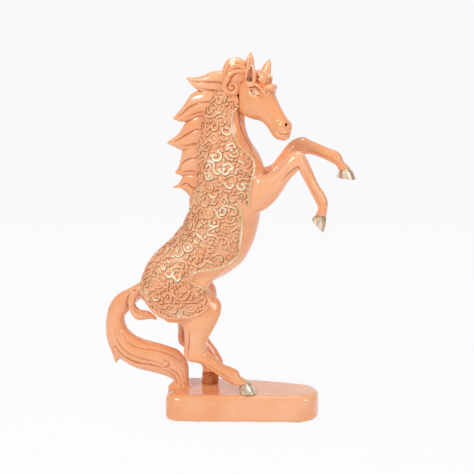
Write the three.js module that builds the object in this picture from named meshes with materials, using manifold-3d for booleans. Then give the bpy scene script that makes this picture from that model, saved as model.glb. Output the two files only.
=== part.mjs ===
import * as THREE from 'three';
import { mergeVertices } from 'three/addons/utils/BufferGeometryUtils.js';
import Module from 'manifold-3d';

const wasm = await Module();
wasm.setup();

// Driving dimensions in millimetres: +X is the way the horse faces, -Y its right side, +Z up
const bond = 0.3; // glue line between two cast pieces
const pad = { length: 20, width: 12, thickness: 1, fromEnd: 18, fromEdge: 6.5 };
const stature = 354; // from the plinth's top face to the tip of the crest's upright lock
const plinth = {
  behindTail: 1, aheadOfHoof: 63.5, rearHalf: 39.5, frontHalf: 24, farBow: 6.1, height: 28, rearCorner: 22,
  frontCorner: 23, edge: 5,
};
const wire = { thickness: 3, play: 0.3, intoPlinth: 16 };
const panel = { rise: 0.6, chestFromMiddle: 5, barrelFromMiddle: 14, rimFromMiddle: 20 };
const scroll = { width: 2.4, rise: 1.5, bossCorners: 8 }; // the ornament on the panels
const trim = { width: 2.6, rise: 2.3 };
const headTurn = THREE.MathUtils.degToRad(29);
const legSpread = { fore: 17, hind: 19 }; // from the middle plane to the middle of a leg
const thigh = { fromMiddle: 17.5 };
const eye = { at: [22.5, 11.6, 315], length: 9, height: 6, thickness: 5, slant: 0.35 };
const nostril = { at: [51, 7.6, 281.5], radius: 1.7 };
const ear = { base: [18.5, 11.5, 324], rightHeight: 19.5, leftHeight: 23 };
const curl = { middle: [-10, 318], fromMiddle: 14, outer: 8.5, inner: 2.5, half: 3.4, turns: 1.15 };
const legSides = 16; // corners round a leg or a hoof

// The stations and outlines below are noted on a side drawing of this height, and mm gives their real size
const drawnStature = 354;
const hoofFront = 17; // toe of the foremost hind hoof
const tailFootRear = -78;
const mm = (drawn) => (drawn * stature) / drawnStature;
const outline = (points) => points.map((point) => point.map(mm));

// A solid of manifold-3d from a closed three.js geometry, and back again
function solidOf(geometry) {
  const bare = geometry.index ? geometry.toNonIndexed() : geometry.clone();
  bare.deleteAttribute('normal');
  bare.deleteAttribute('uv');
  const merged = mergeVertices(bare, 1e-4);
  return new wasm.Manifold(new wasm.Mesh({
    numProp: 3,
    vertProperties: new Float32Array(merged.attributes.position.array),
    triVerts: new Uint32Array(merged.index.array),
  }));
}

function geometryOf(solid) {
  const mesh = solid.getMesh();
  const geometry = new THREE.BufferGeometry();
  geometry.setAttribute('position', new THREE.BufferAttribute(mesh.vertProperties, 3));
  geometry.setIndex(new THREE.BufferAttribute(mesh.triVerts, 1));
  return geometry;
}

const joined = (solids) => solids.reduce((whole, solid) => whole.add(solid));
const cutBy = (solid, cutters) => cutters.reduce((rest, cutter) => rest.subtract(cutter), solid);

/* A limb runs through drawn stations [[x, z], [x, z], half, y]: two points of its side outline,
   half its thickness there and, where it isn't the limb's own, the real y of its middle.
   grow swells it all round; round is how far each end bulges, as a share of its half thickness. */
function limb(drawn, { y = 0, sides = 16, round = [0, 0], matrix = null } = {}) {
  const stations = drawn.map(([back, front, half, ...own]) => [back.map(mm), front.map(mm), mm(half), ...own]);
  return (grow = 0) => {
    const middleOf = ([back, front, , own = y]) =>
      new THREE.Vector3((back[0] + front[0]) / 2, own, (back[1] + front[1]) / 2);
    const poles = [];
    const rings = stations.map((station, i) => {
      const [back, front, half] = station;
      const across = new THREE.Vector3(front[0] - back[0], 0, front[1] - back[1]);
      const reach = across.length() / 2 + grow;
      across.normalize();
      const middle = middleOf(station);
      if (i === 0 || i === stations.length - 1) {
        const out = middle.clone().sub(middleOf(stations[i === 0 ? 1 : i - 1]));
        out.addScaledVector(across, -out.dot(across)).normalize();
        middle.addScaledVector(out, grow);
        poles.push(middle.clone().addScaledVector(out, round[poles.length] * half));
      }
      return Array.from({ length: sides }, (_, s) => {
        const angle = (2 * Math.PI * s) / sides;
        const sideways = new THREE.Vector3(0, (half + grow) * Math.sin(angle), 0);
        return sideways.addScaledVector(across, reach * Math.cos(angle)).add(middle);
      });
    });
    return solidOf(skin(poles, rings, matrix));
  };
}

// The closed skin over rings of points, from one pole to the other
function skin([first, last], rings, matrix) {
  const sides = rings[0].length;
  const vertices = [first, ...rings.flat(), last];
  const triangles = [];
  const at = (i, s) => 1 + i * sides + (s % sides);
  for (let s = 0; s < sides; s++) {
    triangles.push(0, at(0, s), at(0, s + 1));
    for (let i = 0; i < rings.length - 1; i++) {
      triangles.push(at(i, s), at(i + 1, s), at(i + 1, s + 1));
      triangles.push(at(i, s), at(i + 1, s + 1), at(i, s + 1));
    }
    triangles.push(at(rings.length - 1, s + 1), at(rings.length - 1, s), vertices.length - 1);
  }
  if (volume(vertices, triangles) < 0) triangles.reverse();
  const geometry = new THREE.BufferGeometry().setFromPoints(vertices);
  geometry.setIndex(triangles);
  if (matrix) geometry.applyMatrix4(matrix);
  return geometry;
}

function volume(vertices, triangles) {
  let sum = 0;
  for (let i = 0; i < triangles.length; i += 3) {
    const [a, b, c] = [0, 1, 2].map((k) => vertices[triangles[i + k]]);
    sum += a.dot(b.clone().cross(c));
  }
  return sum;
}

const form = (...limbs) => (grow = 0) => joined(limbs.map((one) => one(grow)));

/* All heights from here on are above the plinth's top face. */

// Trunk and neck, from the haunches up to the poll
const trunk = limb([
  [[-96, 108], [-52, 101], 19],
  [[-102.8, 121.6], [-39, 111], 27],
  [[-95.6, 136.9], [-20, 121], 30.5],
  [[-85.4, 148], [-6, 131], 31.5],
  [[-74, 158.5], [3, 141], 31.5],
  [[-62, 174], [11.6, 158.8], 31],
  [[-55, 190], [16, 175], 30],
  [[-53.5, 205], [19.2, 194.6], 28],
  [[-48, 221], [22, 215], 30],
  [[-47, 239], [22.4, 233.2], 30.5],
  [[-47, 256], [17.3, 248.4], 27],
  [[-45, 270], [9, 261], 22.5],
  [[-43, 283], [4.2, 271.6], 19],
  [[-40, 297], [2.2, 281.8], 17],
  [[-33, 310], [2.4, 290.4], 15.5],
  [[-22, 321], [5, 299], 14],
], { sides: 24, round: [0.5, 0.4] });

const thighStations = [
  [[-79, 75.5], [-52, 77], 8],
  [[-90, 82], [-38, 83], 14],
  [[-98.5, 92], [-30, 93], 17],
  [[-104, 105], [-31, 103.8], 18],
  [[-102.8, 119.6], [-34, 112], 18],
  [[-94.8, 134], [-26, 123], 16],
  [[-84.6, 146], [-13, 137], 13],
];
const thighs = [-1, 1].map((side) =>
  limb(thighStations, { y: thigh.fromMiddle * side, sides: 20, round: [0.3, 0.3] }));
const bodyForm = form(trunk, ...thighs);

// Head, in its own frame: x forward from the poll, turned towards the horse's right
const headMatrix = new THREE.Matrix4().makeRotationZ(-headTurn);
const skull = limb([
  [[-8, 300], [-3, 329], 11],
  [[2, 291], [9, 331], 13.5],
  [[9, 287], [20, 330], 14.5],
  [[16, 285.5], [30, 324], 14.5],
  [[22, 285], [36, 315.5], 12.5],
  [[27.5, 283], [41.5, 306.5], 10.5],
  [[32.5, 279], [46, 299.5], 9.2],
  [[36.5, 274], [51, 292.5], 8.8],
  [[40, 270], [55.5, 286], 9],
  [[44.5, 267.5], [58, 279.5], 8.8],
  [[49, 267.5], [56.5, 272.5], 6],
], { sides: 16, round: [0.3, 0.4], matrix: headMatrix });
const brows = [-1, 1].map((side) => limb([
  [[21, 320], [25, 328], 2.5, mm(8) * side],
  [[25.5, 315.5], [33, 324.5], 4.5, mm(10.5) * side],
  [[31, 309], [36, 315.5], 2.5, mm(9) * side],
], { sides: 8, round: [0.5, 0.5], matrix: headMatrix }));
const headForm = form(skull, ...brows);

// Legs: each row of stations runs from inside the trunk to the top of the hoof
const foreRightStations = [
  [[4, 194], [0, 228], 7, 0.65],
  [[19.5, 192], [12, 229], 9.5, 0.8],
  [[32.5, 201], [26, 231], 12, 0.94],
  [[42.6, 214], [37, 238.5], 11],
  [[50, 226], [46.4, 248.5], 9.8],
  [[57, 233.5], [53, 254.6], 9],
  [[59, 236.5], [61.8, 255], 8.6],
  [[60.5, 233.5], [67, 248.2], 7.8],
  [[65.5, 224.5], [73.4, 235], 6.4],
  [[70.5, 215], [79.2, 222.2], 5.9],
  [[76, 204.5], [86, 211.6], 5.8],
  [[78.8, 198.5], [89, 203.6], 6.2],
  [[78.6, 195], [88.6, 196.6], 6],
  [[76.5, 191.5], [87.6, 189.6], 6.2],
];

const foreLeftStations = [
  [[5, 198], [1, 228], 7, 0.65],
  [[20, 201], [14, 232], 9.5, 0.8],
  [[34, 212], [26.8, 236], 11.5, 0.94],
  [[44, 223], [35.6, 246], 10.8],
  [[52, 234], [43.8, 257], 9.8],
  [[57, 242], [51.8, 263.5], 9.2],
  [[60.5, 246], [61, 265.5], 8.8],
  [[65, 248], [69, 262], 7.6],
  [[73, 246.5], [77, 258.7], 6.4],
  [[82, 243.2], [86.4, 254.6], 6.2],
  [[88.5, 240.2], [94.6, 252], 6.5],
  [[93, 238], [99.6, 248], 6.5],
  [[95.5, 235.6], [102.6, 241.2], 6],
  [[97.6, 231.4], [108.8, 235], 6.6],
];

const hindRightStations = [
  [[-76, 100], [-33, 107], 9, 0.79],
  [[-70, 84], [-22, 97.5], 12, 0.84],
  [[-63, 75], [-20.4, 87], 12.5, 0.92],
  [[-59.5, 67], [-24.6, 75], 11.5],
  [[-58.5, 59], [-30.6, 63.5], 10],
  [[-58.5, 50], [-35.2, 54.5], 9],
  [[-59.5, 41], [-35.8, 49.5], 8.6],
  [[-56, 33.5], [-34, 43.5], 8],
  [[-43, 31], [-27.6, 38.4], 7.2],
  [[-32, 24.5], [-19, 31.2], 6.8],
  [[-21, 17], [-10, 27.8], 6.8],
  [[-12, 11.6], [-3, 24.2], 7],
  [[-6, 8.5], [0.6, 17.8], 7],
  [[-1.9, 9.4], [8.8, 13.2], 7.2],
];

const hindLeftStations = [
  [[-84, 102], [-44, 108], 9, 0.79],
  [[-79, 86], [-38, 94], 12, 0.84],
  [[-74, 77], [-35, 83], 12.5, 0.92],
  [[-72.5, 67], [-38, 71], 11.5],
  [[-71.5, 57], [-40, 59.5], 10],
  [[-72, 48], [-40.8, 51.5], 9],
  [[-70, 41.2], [-37.6, 46.6], 8.6],
  [[-63.5, 36], [-32.6, 40], 8],
  [[-55, 27], [-27.6, 32], 7.6],
  [[-46.4, 18.5], [-23.2, 22], 7.4],
  [[-45.6, 12], [-27, 13.6], 7.2],
];

const legForm = (stations, y) => limb(
  stations.map(([back, front, half, share = 1]) => [back, front, half, share * y]),
  { sides: legSides, round: [0.3, 0] },
);
const legs = {
  foreleg_right: legForm(foreRightStations, -legSpread.fore),
  foreleg_left: legForm(foreLeftStations, legSpread.fore),
  hind_leg_right: legForm(hindRightStations, -legSpread.hind),
  hind_leg_left: legForm(hindLeftStations, legSpread.hind),
};

// Hooves: from the leg's end through the coronet's rim to the sole
const soleHeight = bond / mm(1); // drawn height of what stands on the plinth
function hoof(legStations, rimAndSole, y) {
  const [back, front, half] = legStations.at(-1);
  const inward = (a, b) => a.map((value, k) => THREE.MathUtils.lerp(value, b[k], 0.1));
  const root = [inward(back, front), inward(front, back), 0.8 * half];
  return limb([root, ...rimAndSole], { y, sides: legSides });
}
const hooves = {
  foreleg_right: hoof(foreRightStations,
    [[[76.5, 190.2], [87.8, 187.2], 6.8], [[72.6, 186.2], [85, 172.8], 8]], -legSpread.fore),
  foreleg_left: hoof(foreLeftStations,
    [[[97.6, 230.4], [109.8, 233.6], 7.2], [[96, 224.6], [115.4, 222.4], 8.6]], legSpread.fore),
  hind_leg_right: hoof(hindRightStations,
    [[[-1.2, 8.6], [10.2, 12.3], 7.7], [[-0.8, soleHeight], [hoofFront, soleHeight], 9]], -legSpread.hind),
  hind_leg_left: hoof(hindLeftStations,
    [[[-45.8, 10.4], [-27.2, 12], 7.7], [[-46, soleHeight], [-28.6, soleHeight], 8.8]], legSpread.hind),
};

// Tail: it leaves the rump, sweeps round and stands on the plinth behind the right hind leg
const tailMain = limb([
  [[-97, 117], [-94, 98], 8],
  [[-108, 112], [-105, 96], 8.5],
  [[-120, 105], [-113, 89], 9.5],
  [[-132.3, 98], [-119, 82], 10],
  [[-141.4, 86.2], [-124.5, 76], 10.5],
  [[-146.5, 68], [-125.5, 69], 11],
  [[-146, 51], [-122.5, 61.2], 11.5],
  [[-138, 35.5], [-116, 55], 12],
  [[-126, 25], [-106.4, 50.2], 12],
  [[-112, 18], [-94.6, 47.4], 11.5],
  [[-96, 14.5], [-81.6, 44], 11],
  [[-84, 11.5], [-67.6, 38.4], 10],
  [[-75.5, 8], [-58.5, 25], 9],
  [[-73, 4.5], [-57.5, 10], 9],
  [[tailFootRear, soleHeight], [-57.5, soleHeight], 10],
], { sides: 16, round: [0.3, 0] });
const tailTip = limb([
  [[-143.5, 68], [-131, 62], 6],
  [[-143.9, 51], [-130, 47], 6.5],
  [[-140.6, 40], [-128.5, 37.5], 6],
  [[-138, 31.5], [-129.8, 30.5], 4.5],
  [[-136.3, 25], [-133.5, 25.4], 2.2],
], { y: -2, sides: 10, round: [0.3, 0.5] });
const tailCurl = limb([
  [[-118, 104], [-107, 99], 6],
  [[-119.5, 96], [-109.5, 97], 6],
  [[-120, 90], [-112, 91], 6],
  [[-118.5, 83], [-111.3, 87.5], 5.8],
  [[-113.5, 75], [-108, 84.5], 5.6],
  [[-107, 72.6], [-103.5, 83.3], 5.2],
  [[-101, 73.6], [-98.5, 82.5], 4.6],
  [[-95.5, 74.3], [-94.5, 79.8], 3.6],
  [[-90.8, 73.2], [-90.2, 76.2], 1.6],
], { y: -8, sides: 12, round: [0.3, 0.5] });
const tailForm = form(tailMain, tailTip, tailCurl);

// Mane: five flame-shaped locks behind the neck, in one piece
const maneLocks = [
  [[[-16, 300], [-8, 331], 9, 0], [[-27, 309], [-18, 334.5], 9, -1], [[-40, 311.4], [-31.5, 333.6], 8, -2],
    [[-49.6, 317], [-44, 328.5], 5.5, -3], [[-57, 326], [-57, 327.6], 1.2, -5]],
  [[[-28, 284], [-22, 320], 9.5, 0], [[-42, 287], [-38, 316], 9, -2], [[-54, 282.8], [-52, 311], 7, -3],
    [[-63, 281.8], [-62, 297], 5, -4], [[-71.5, 285], [-70.5, 287], 1.2, -6]],
  [[[-34, 252], [-30, 292], 10, 0], [[-48, 252], [-46, 293], 9, -1], [[-60, 251.4], [-58, 282.5], 7, -2],
    [[-69.5, 255.2], [-66.5, 269.4], 5, -3], [[-78.3, 259.6], [-77.8, 261.2], 1.2, -4]],
  [[[-36, 222], [-34, 264], 10, 0], [[-52, 224], [-52, 262], 8.5, -1], [[-62, 225], [-62, 252], 6.5, -1],
    [[-66.5, 226.8], [-65.6, 238], 4, -1], [[-69.6, 227.4], [-69.8, 229.4], 1.2, -1]],
  [[[-36, 190], [-34, 232], 9.5, 0], [[-50, 191], [-49, 233], 8.5, -1], [[-56, 205], [-59.5, 229], 6.5, -1],
    [[-64, 212.2], [-66, 218.5], 4, -2], [[-72.5, 212.8], [-72, 214], 1.2, -2]],
].map((stations) => limb(stations, { sides: 12, round: [0.3, 0.5] }));
const maneForm = form(...maneLocks);

// Forelock, crest tuft and the curl behind each cheek
const crestRoll = limb([
  [[-21, 322], [-2, 324], 7],
  [[-20.5, 337], [-3, 328], 8],
  [[-14, 347], [-2, 330], 8],
  [[-2, 347.5], [0, 329], 7.5],
  [[8, 338], [2, 324], 6],
], { y: -3, sides: 12, round: [0.3, 0.3] });
const crestLock = limb([
  [[0, 330], [11, 329], 5],
  [[1, 337], [12.5, 336], 5],
  [[2.5, 343.5], [11.8, 343], 4],
  [[5, 349], [10.8, 349], 2.6],
  [[7.7, 354], [8.7, 354], 0.8],
], { y: -3, sides: 12, round: [0.3, 0.5] });
const crestTuft = form(crestRoll, crestLock);
const forelock = limb([
  [[6, 326], [8, 338], 9],
  [[16, 326], [19, 335.5], 9],
  [[24, 322], [29, 331.5], 7],
  [[28, 318], [32, 324], 3],
], { sides: 12, round: [0.3, 0.3], matrix: headMatrix });
const cheekCurl = (side) => {
  const steps = 14;
  const startAngle = 0.15 * Math.PI;
  const lockHalf = { start: 3, end: 1.8 };
  const stations = Array.from({ length: steps + 1 }, (_, i) => {
    const t = i / steps;
    const angle = startAngle + 2 * Math.PI * curl.turns * t;
    const radius = THREE.MathUtils.lerp(curl.outer, curl.inner, t);
    const half = THREE.MathUtils.lerp(lockHalf.start, lockHalf.end, t);
    const point = (reach) => [
      curl.middle[0] + Math.cos(angle) * reach,
      curl.middle[1] + Math.sin(angle) * reach,
    ];
    return [point(radius - half), point(radius + half), curl.half, side * curl.fromMiddle];
  });
  return limb(stations, { sides: 8, round: [0.5, 0.5] });
};

// Ears: the left one stands taller in the pose than the right one
const earForm = (side, height) => {
  const [x, y, z] = ear.base;
  const out = (reach) => side * mm(y + reach);
  const outer = limb([
    [[x - 7, z], [x + 6, z + 1], 5, out(0)],
    [[x - 6.5, z + 0.35 * height], [x + 6, z + 0.35 * height], 4.8, out(1)],
    [[x - 3, z + 0.7 * height], [x + 4.5, z + 0.7 * height], 3.4, out(2)],
    [[x + 1, z + height], [x + 2, z + height], 0.8, out(3)],
  ], { sides: 12, round: [0.3, 0.5], matrix: headMatrix });
  const hollow = limb([
    [[x - 2, z + 5], [x + 7, z + 6], 3, out(5)],
    [[x - 1, z + 0.45 * height], [x + 6, z + 0.45 * height], 3, out(5.5)],
    [[x + 1.5, z + 0.8 * height], [x + 3, z + 0.8 * height], 1, out(5)],
  ], { sides: 8, matrix: headMatrix });
  return { outer, hollow };
};

// Eyes and nostrils, on both sides of the head
function eyeSolid(side, grow = 0) {
  const [x, y, z] = eye.at.map(mm);
  const ball = new THREE.SphereGeometry(1, 12, 8);
  ball.scale(eye.length / 2 + grow, eye.thickness / 2 + grow, eye.height / 2 + grow);
  ball.rotateY(eye.slant);
  ball.translate(x, side * y, z);
  ball.applyMatrix4(headMatrix);
  return solidOf(ball);
}

function nostrilPit(side) {
  const [x, y, z] = nostril.at.map(mm);
  const pit = new THREE.SphereGeometry(nostril.radius, 10, 6);
  pit.translate(x, side * y, z);
  pit.applyMatrix4(headMatrix);
  return solidOf(pit);
}

// Raised panels: the skin of the body inside an outline drawn from the side
function prism(points, side, fromMiddle) {
  const shape = new THREE.Shape(points.map(([x, z]) => new THREE.Vector2(x, z)));
  const depth = 60;
  const block = new THREE.ExtrudeGeometry(shape, { depth, bevelEnabled: false });
  block.rotateX(Math.PI / 2);
  block.translate(0, side > 0 ? fromMiddle + depth : -fromMiddle, 0);
  return solidOf(block);
}

// The points moved to the outline's inner side, which lies left of the way that they run
function movedIn(points, distance) {
  return points.map(([x, z], i) => {
    const before = new THREE.Vector2(...points[Math.max(i - 1, 0)]);
    const along = new THREE.Vector2(...points[Math.min(i + 1, points.length - 1)]).sub(before).normalize();
    return [x - along.y * distance, z + along.x * distance];
  });
}
const strip = (points, width) => [...points, ...movedIn(points, width).reverse()];

const chestFront = outline([[-3, 300], [-7.5, 294], [-9.5, 286], [-8.5, 275], [-5, 267], [0, 259], [7, 252],
  [12.5, 246], [14, 239], [13, 231], [10.5, 221], [9, 209], [8.5, 199]]);
const girth = outline([[3, 202], [-2, 206], [-8, 210], [-18, 214], [-30, 217], [-44, 218]]);
const chestBack = outline([[-45, 234], [-45, 254], [-42, 280], [-39, 293], [-33, 300], [-25, 308], [-16, 309]]);
const barrelFront = outline([[-4, 202], [0.5, 195], [2, 180], [0, 160], [-2, 150], [-7, 142.5], [-14, 138],
  [-24, 134.5], [-35, 132.5], [-45, 131], [-49, 127], [-50.5, 122], [-48, 118], [-40, 114.5],
  [-33, 111]]);
const thighRim = outline([[-31, 104], [-32, 97.5], [-35, 91], [-42, 86], [-52, 83], [-62, 81.5], [-72, 82],
  [-81, 84], [-90, 88.5], [-97, 95]]);
const barrelBack = outline([[-103, 105], [-103, 120], [-96, 134], [-85, 145], [-73, 155], [-60, 170], [-51, 187],
  [-48, 203], [-46, 212.5], [-30, 211.5], [-18, 208.5], [-9, 204.5]]);

// The main scrolls and bosses of the ornament; the small curls between them aren't modelled
const scrolls = {
  chest: [
    [[-31.5, 304.8], [-28.8, 305.5], [-27.5, 308.5], [-29.5, 311.5]],
    [[-20, 307], [-20, 304], [-23, 302.8], [-25.5, 305.5]],
    [[-39, 289.6], [-34.5, 288.6], [-30, 289], [-26.4, 290.6], [-23, 293.2]],
    [[-23.4, 281], [-24.6, 277], [-27.9, 276.2], [-29.8, 279]],
    [[-18.9, 277.5], [-17.4, 273.4], [-13, 272], [-10, 274.2]],
    [[-30, 262.4], [-31.4, 258.4], [-34.8, 256], [-39, 255]],
    [[-13, 261], [-9, 263], [-5.8, 262.6], [-4.8, 259.6]],
    [[-28, 250.8], [-27.7, 247.8], [-25, 246], [-21.2, 246.8], [-18.8, 249.6], [-20, 254]],
    [[-35, 244.2], [-29.4, 244.6], [-26.6, 241.6], [-26.4, 237], [-24, 233.6], [-20.6, 234.6]],
    [[-16.4, 238], [-16.6, 234.4], [-14, 232.6], [-11, 234.2], [-9, 238]],
    [[-3.2, 234], [-1.4, 237.4], [2.8, 238.2], [5.6, 235], [4.4, 231]],
    [[-1, 246], [3.4, 244.8], [6.5, 241.4]],
    [[-12.4, 227.6], [-10.4, 230.6], [-5.8, 231], [-3.4, 227.6]],
    [[-13.8, 222.6], [-12, 219.4], [-8.2, 218.8], [-6.4, 221.6]],
    [[-1.8, 221], [-0.4, 217.6], [3, 217], [5.4, 219.6]],
  ],
  barrel: [
    [[-30, 206.4], [-26.5, 204.6], [-23.6, 207.4]],
    [[-20.8, 204.4], [-16.9, 200.6], [-11.5, 199.2], [-6.6, 197], [-5.6, 193.4]],
    [[-31, 183.4], [-30.6, 180], [-26.2, 178.8], [-21.9, 179.6], [-20.4, 183.4]],
    [[-24, 177.2], [-30.4, 174.6], [-32, 171.6], [-30, 169.4], [-25.6, 169], [-22.4, 165.6]],
    [[-33, 161.4], [-36.9, 164.3], [-41.3, 167.6], [-45, 169.8], [-49, 171]],
    [[-24.2, 161.6], [-20.6, 165.4], [-16.2, 166.8], [-12.4, 164.6], [-10.6, 159.6], [-9, 155]],
    [[-16.4, 176], [-13, 173.8], [-9, 174], [-5.6, 177]],
    [[-39.6, 158.6], [-36.6, 156.4], [-37, 152.8]],
    [[-28, 149], [-22.6, 150.6], [-17, 147.6]],
    [[-69.6, 147], [-65, 148.4], [-60, 149]],
    [[-69.2, 137.6], [-65.4, 140.6], [-59.3, 141.4], [-54.6, 138.4]],
    [[-78.8, 138.6], [-77.4, 132.2]],
    [[-74.6, 127.4], [-71, 125.4], [-68, 128]],
    [[-66, 124.8], [-63.4, 122], [-60.6, 124.4], [-58, 129]],
    [[-68.6, 113], [-67, 106.4], [-61.6, 102.8], [-56, 103], [-52.8, 106.8]],
    [[-89.4, 105], [-88, 101.4], [-84, 100.8], [-82.4, 104]],
    [[-76.6, 105.4], [-73.6, 108], [-70.2, 106.6], [-70.6, 101.6]],
    [[-76.6, 93.4], [-72.8, 95.6], [-67.6, 95], [-65, 91.4]],
    [[-62, 99.4], [-54, 99.8], [-46, 100.2]],
    [[-91, 96.4], [-86.6, 92.8], [-82, 88.6]],
    [[-43, 141], [-39, 143.4], [-34, 142]],
  ],
};
// Middle, half sizes and turn
const bosses = {
  chest: [[-27.1, 267.8, 5, 4.4, 0], [-32.3, 229.6, 4.8, 3.6, -0.25]],
  barrel: [
    [-32.4, 191.4, 5.4, 4.6, -0.5], [-53.6, 156, 5.2, 4.2, -0.35], [-85.2, 118.2, 5.4, 4, -0.65],
    [-49.4, 92.6, 5.6, 3.8, 0.05],
  ],
};
const strokeOutline = (points) =>
  [...movedIn(points, -scroll.width / 2), ...movedIn(points, scroll.width / 2).reverse()];
function bossOutline([x, z, wide, tall, turn]) {
  return Array.from({ length: scroll.bossCorners }, (_, i) => {
    const angle = (2 * Math.PI * i) / scroll.bossCorners;
    const corner = new THREE.Vector2(wide * Math.cos(angle), tall * Math.sin(angle));
    return corner.rotateAround(new THREE.Vector2(), turn).add(new THREE.Vector2(x, z)).toArray();
  });
}
const ornament = (kind) => [
  ...scrolls[kind].map((points) => strokeOutline(outline(points))),
  ...bosses[kind].map((boss) => outline(bossOutline(boss))),
];

const bodyGap = bodyForm(bond);
const bodyPanel = bodyForm(bond + panel.rise);
const bodyScroll = bodyForm(bond + scroll.rise);
const bodyTrim = bodyForm(bond + trim.rise);
const raised = (points, side, fromMiddle, outer, cutters) =>
  cutBy(outer.subtract(bodyGap).intersect(prism(points, side, fromMiddle)), cutters);

// Reinforcing wires: bent steel, cast into a leg or the tail and let into the plinth
function wireRoute(y, points) {
  const above = points.map(([x, z]) => new THREE.Vector3(mm(x), y, mm(z)));
  const foot = above[0].clone().setZ(-wire.intoPlinth);
  return new THREE.CatmullRomCurve3([foot, ...above], false, 'centripetal');
}
const wireRoutes = {
  wire_hind_right: wireRoute(-legSpread.hind, [[4, 0], [2, 9], [-7, 17.5], [-20, 26], [-36, 36]]),
  wire_hind_left: wireRoute(legSpread.hind, [[-37, 0], [-37, 14], [-41, 26], [-52, 42]]),
  wire_tail: wireRoute(0, [[-67, 0], [-66, 12], [-71, 23], [-86, 27]]),
};
function wireSolid(route, grow = 0, past = 0) {
  const steps = 14;
  const section = new THREE.Shape();
  section.absarc(0, 0, wire.thickness / 2 + grow, 0, 2 * Math.PI);
  const points = route.getSpacedPoints(steps - 2);
  if (past) {
    const lengthen = (end, inner) => end.clone().add(end.clone().sub(inner).setLength(past));
    points.unshift(lengthen(points[0], points[1]));
    points.push(lengthen(points.at(-1), points.at(-2)));
  }
  const path = new THREE.CatmullRomCurve3(points, false, 'centripetal');
  return solidOf(new THREE.ExtrudeGeometry(section, {
    steps, curveSegments: 4, bevelEnabled: false, extrudePath: path,
  }));
}
const wireBore = (name) => wireSolid(wireRoutes[name], wire.play, 2 * wire.play);

// Materials
const paint = (color, roughness, metalness) => new THREE.MeshStandardMaterial({ color, roughness, metalness });
const finish = {
  resin: paint(0xf2a878, 0.3, 0),
  gilt: paint(0xd9bb7c, 0.35, 0.6),
  steel: paint(0x9a9a98, 0.4, 0.9),
  felt: paint(0x2b2220, 0.95, 0),
};

// Assembly: the plinth stands on its pads, and the horse on the plinth's top face
const figurine = new THREE.Group();
const standing = new THREE.Group();
const horse = new THREE.Group();
horse.position.z = pad.thickness + plinth.height;
standing.add(horse);
figurine.add(standing);

function place(name, solid, material) {
  const mesh = new THREE.Mesh(geometryOf(solid), material);
  mesh.name = name;
  horse.add(mesh);
}

const rear = mm(tailFootRear) - plinth.behindTail;
const front = mm(hoofFront) + plinth.aheadOfHoof;
function plinthSolid() {
  const { rearHalf, frontHalf, farBow, height, rearCorner, frontCorner, edge } = plinth;
  const corners = [[rear, -rearHalf], [front, -frontHalf], [front, frontHalf], [rear, rearHalf]]
    .map(([x, y]) => new THREE.Vector2(x, y));
  // The far side swells: this is the point that its ends aim at
  const bow = new THREE.Vector2((rear + front) / 2, (rearHalf + frontHalf) / 2 + 2 * farBow);
  const shape = new THREE.Shape();
  corners.forEach((point, i) => {
    const reach = point.x < 0 ? rearCorner : frontCorner;
    const towards = (next) =>
      (point.y > 0 && next.y > 0 ? bow : next).clone().sub(point).setLength(reach).add(point);
    const start = towards(corners[(i + 3) % 4]);
    const end = towards(corners[(i + 1) % 4]);
    if (i === 0) shape.moveTo(start.x, start.y);
    else if (i === 3) shape.quadraticCurveTo(bow.x, bow.y, start.x, start.y);
    else shape.lineTo(start.x, start.y);
    shape.quadraticCurveTo(point.x, point.y, end.x, end.y);
  });
  shape.closePath();
  const slab = new THREE.ExtrudeGeometry(shape, {
    depth: height - 2 * edge, curveSegments: 6, bevelThickness: edge, bevelSize: edge,
    bevelOffset: -edge, bevelSegments: 4,
  });
  slab.translate(0, 0, edge - height);
  return solidOf(slab);
}
place('plinth', cutBy(plinthSolid(), Object.keys(wireRoutes).map(wireBore)), finish.resin);

const sides = { right: -1, left: 1 };
const padMiddles = {
  rear: rear + pad.fromEnd + pad.length / 2,
  front: front - pad.fromEnd - pad.length / 2,
};
for (const [end, x] of Object.entries(padMiddles)) {
  for (const [sideName, side] of Object.entries(sides)) {
    const edgeHalf = THREE.MathUtils.mapLinear(x, rear, front, plinth.rearHalf, plinth.frontHalf);
    const felt = new THREE.Mesh(new THREE.BoxGeometry(pad.length, pad.width, pad.thickness), finish.felt);
    felt.position.set(x, side * (edgeHalf - pad.fromEdge - pad.width / 2), pad.thickness / 2);
    felt.name = `felt_pad_${end}_${sideName}`;
    standing.add(felt);
  }
}

// The trunk with the thighs comes first, and each later piece is cut back where it meets the ones before
place('body', bodyForm(), finish.resin);
const headGap = headForm(bond);
const maneGap = maneForm(bond);
const legGaps = Object.fromEntries(Object.entries(legs).map(([name, leg]) => [name, leg(bond)]));
const legBores = ['wire_hind_right', 'wire_hind_left'].map(wireBore);

const faceCuts = [-1, 1].flatMap((side) => [eyeSolid(side, bond), nostrilPit(side)]);
place('head', cutBy(headForm(), [bodyGap, ...faceCuts]), finish.resin);
for (const [sideName, side] of Object.entries(sides)) place(`eye_${sideName}`, eyeSolid(side), finish.gilt);

for (const [name, leg] of Object.entries(legs)) {
  place(name, cutBy(leg(), [bodyGap, ...legBores]), finish.resin);
}
for (const [name, hoofForm] of Object.entries(hooves)) {
  const hoofName = name.replace(/(fore|hind)_?leg/, 'hoof_$1');
  place(hoofName, cutBy(hoofForm(), [legGaps[name], ...legBores]), finish.gilt);
}
const tailCuts = [bodyGap, legGaps.hind_leg_right, legGaps.hind_leg_left, wireBore('wire_tail')];
place('tail', cutBy(tailForm(), tailCuts), finish.resin);
for (const [name, route] of Object.entries(wireRoutes)) place(name, wireSolid(route), finish.steel);

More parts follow.
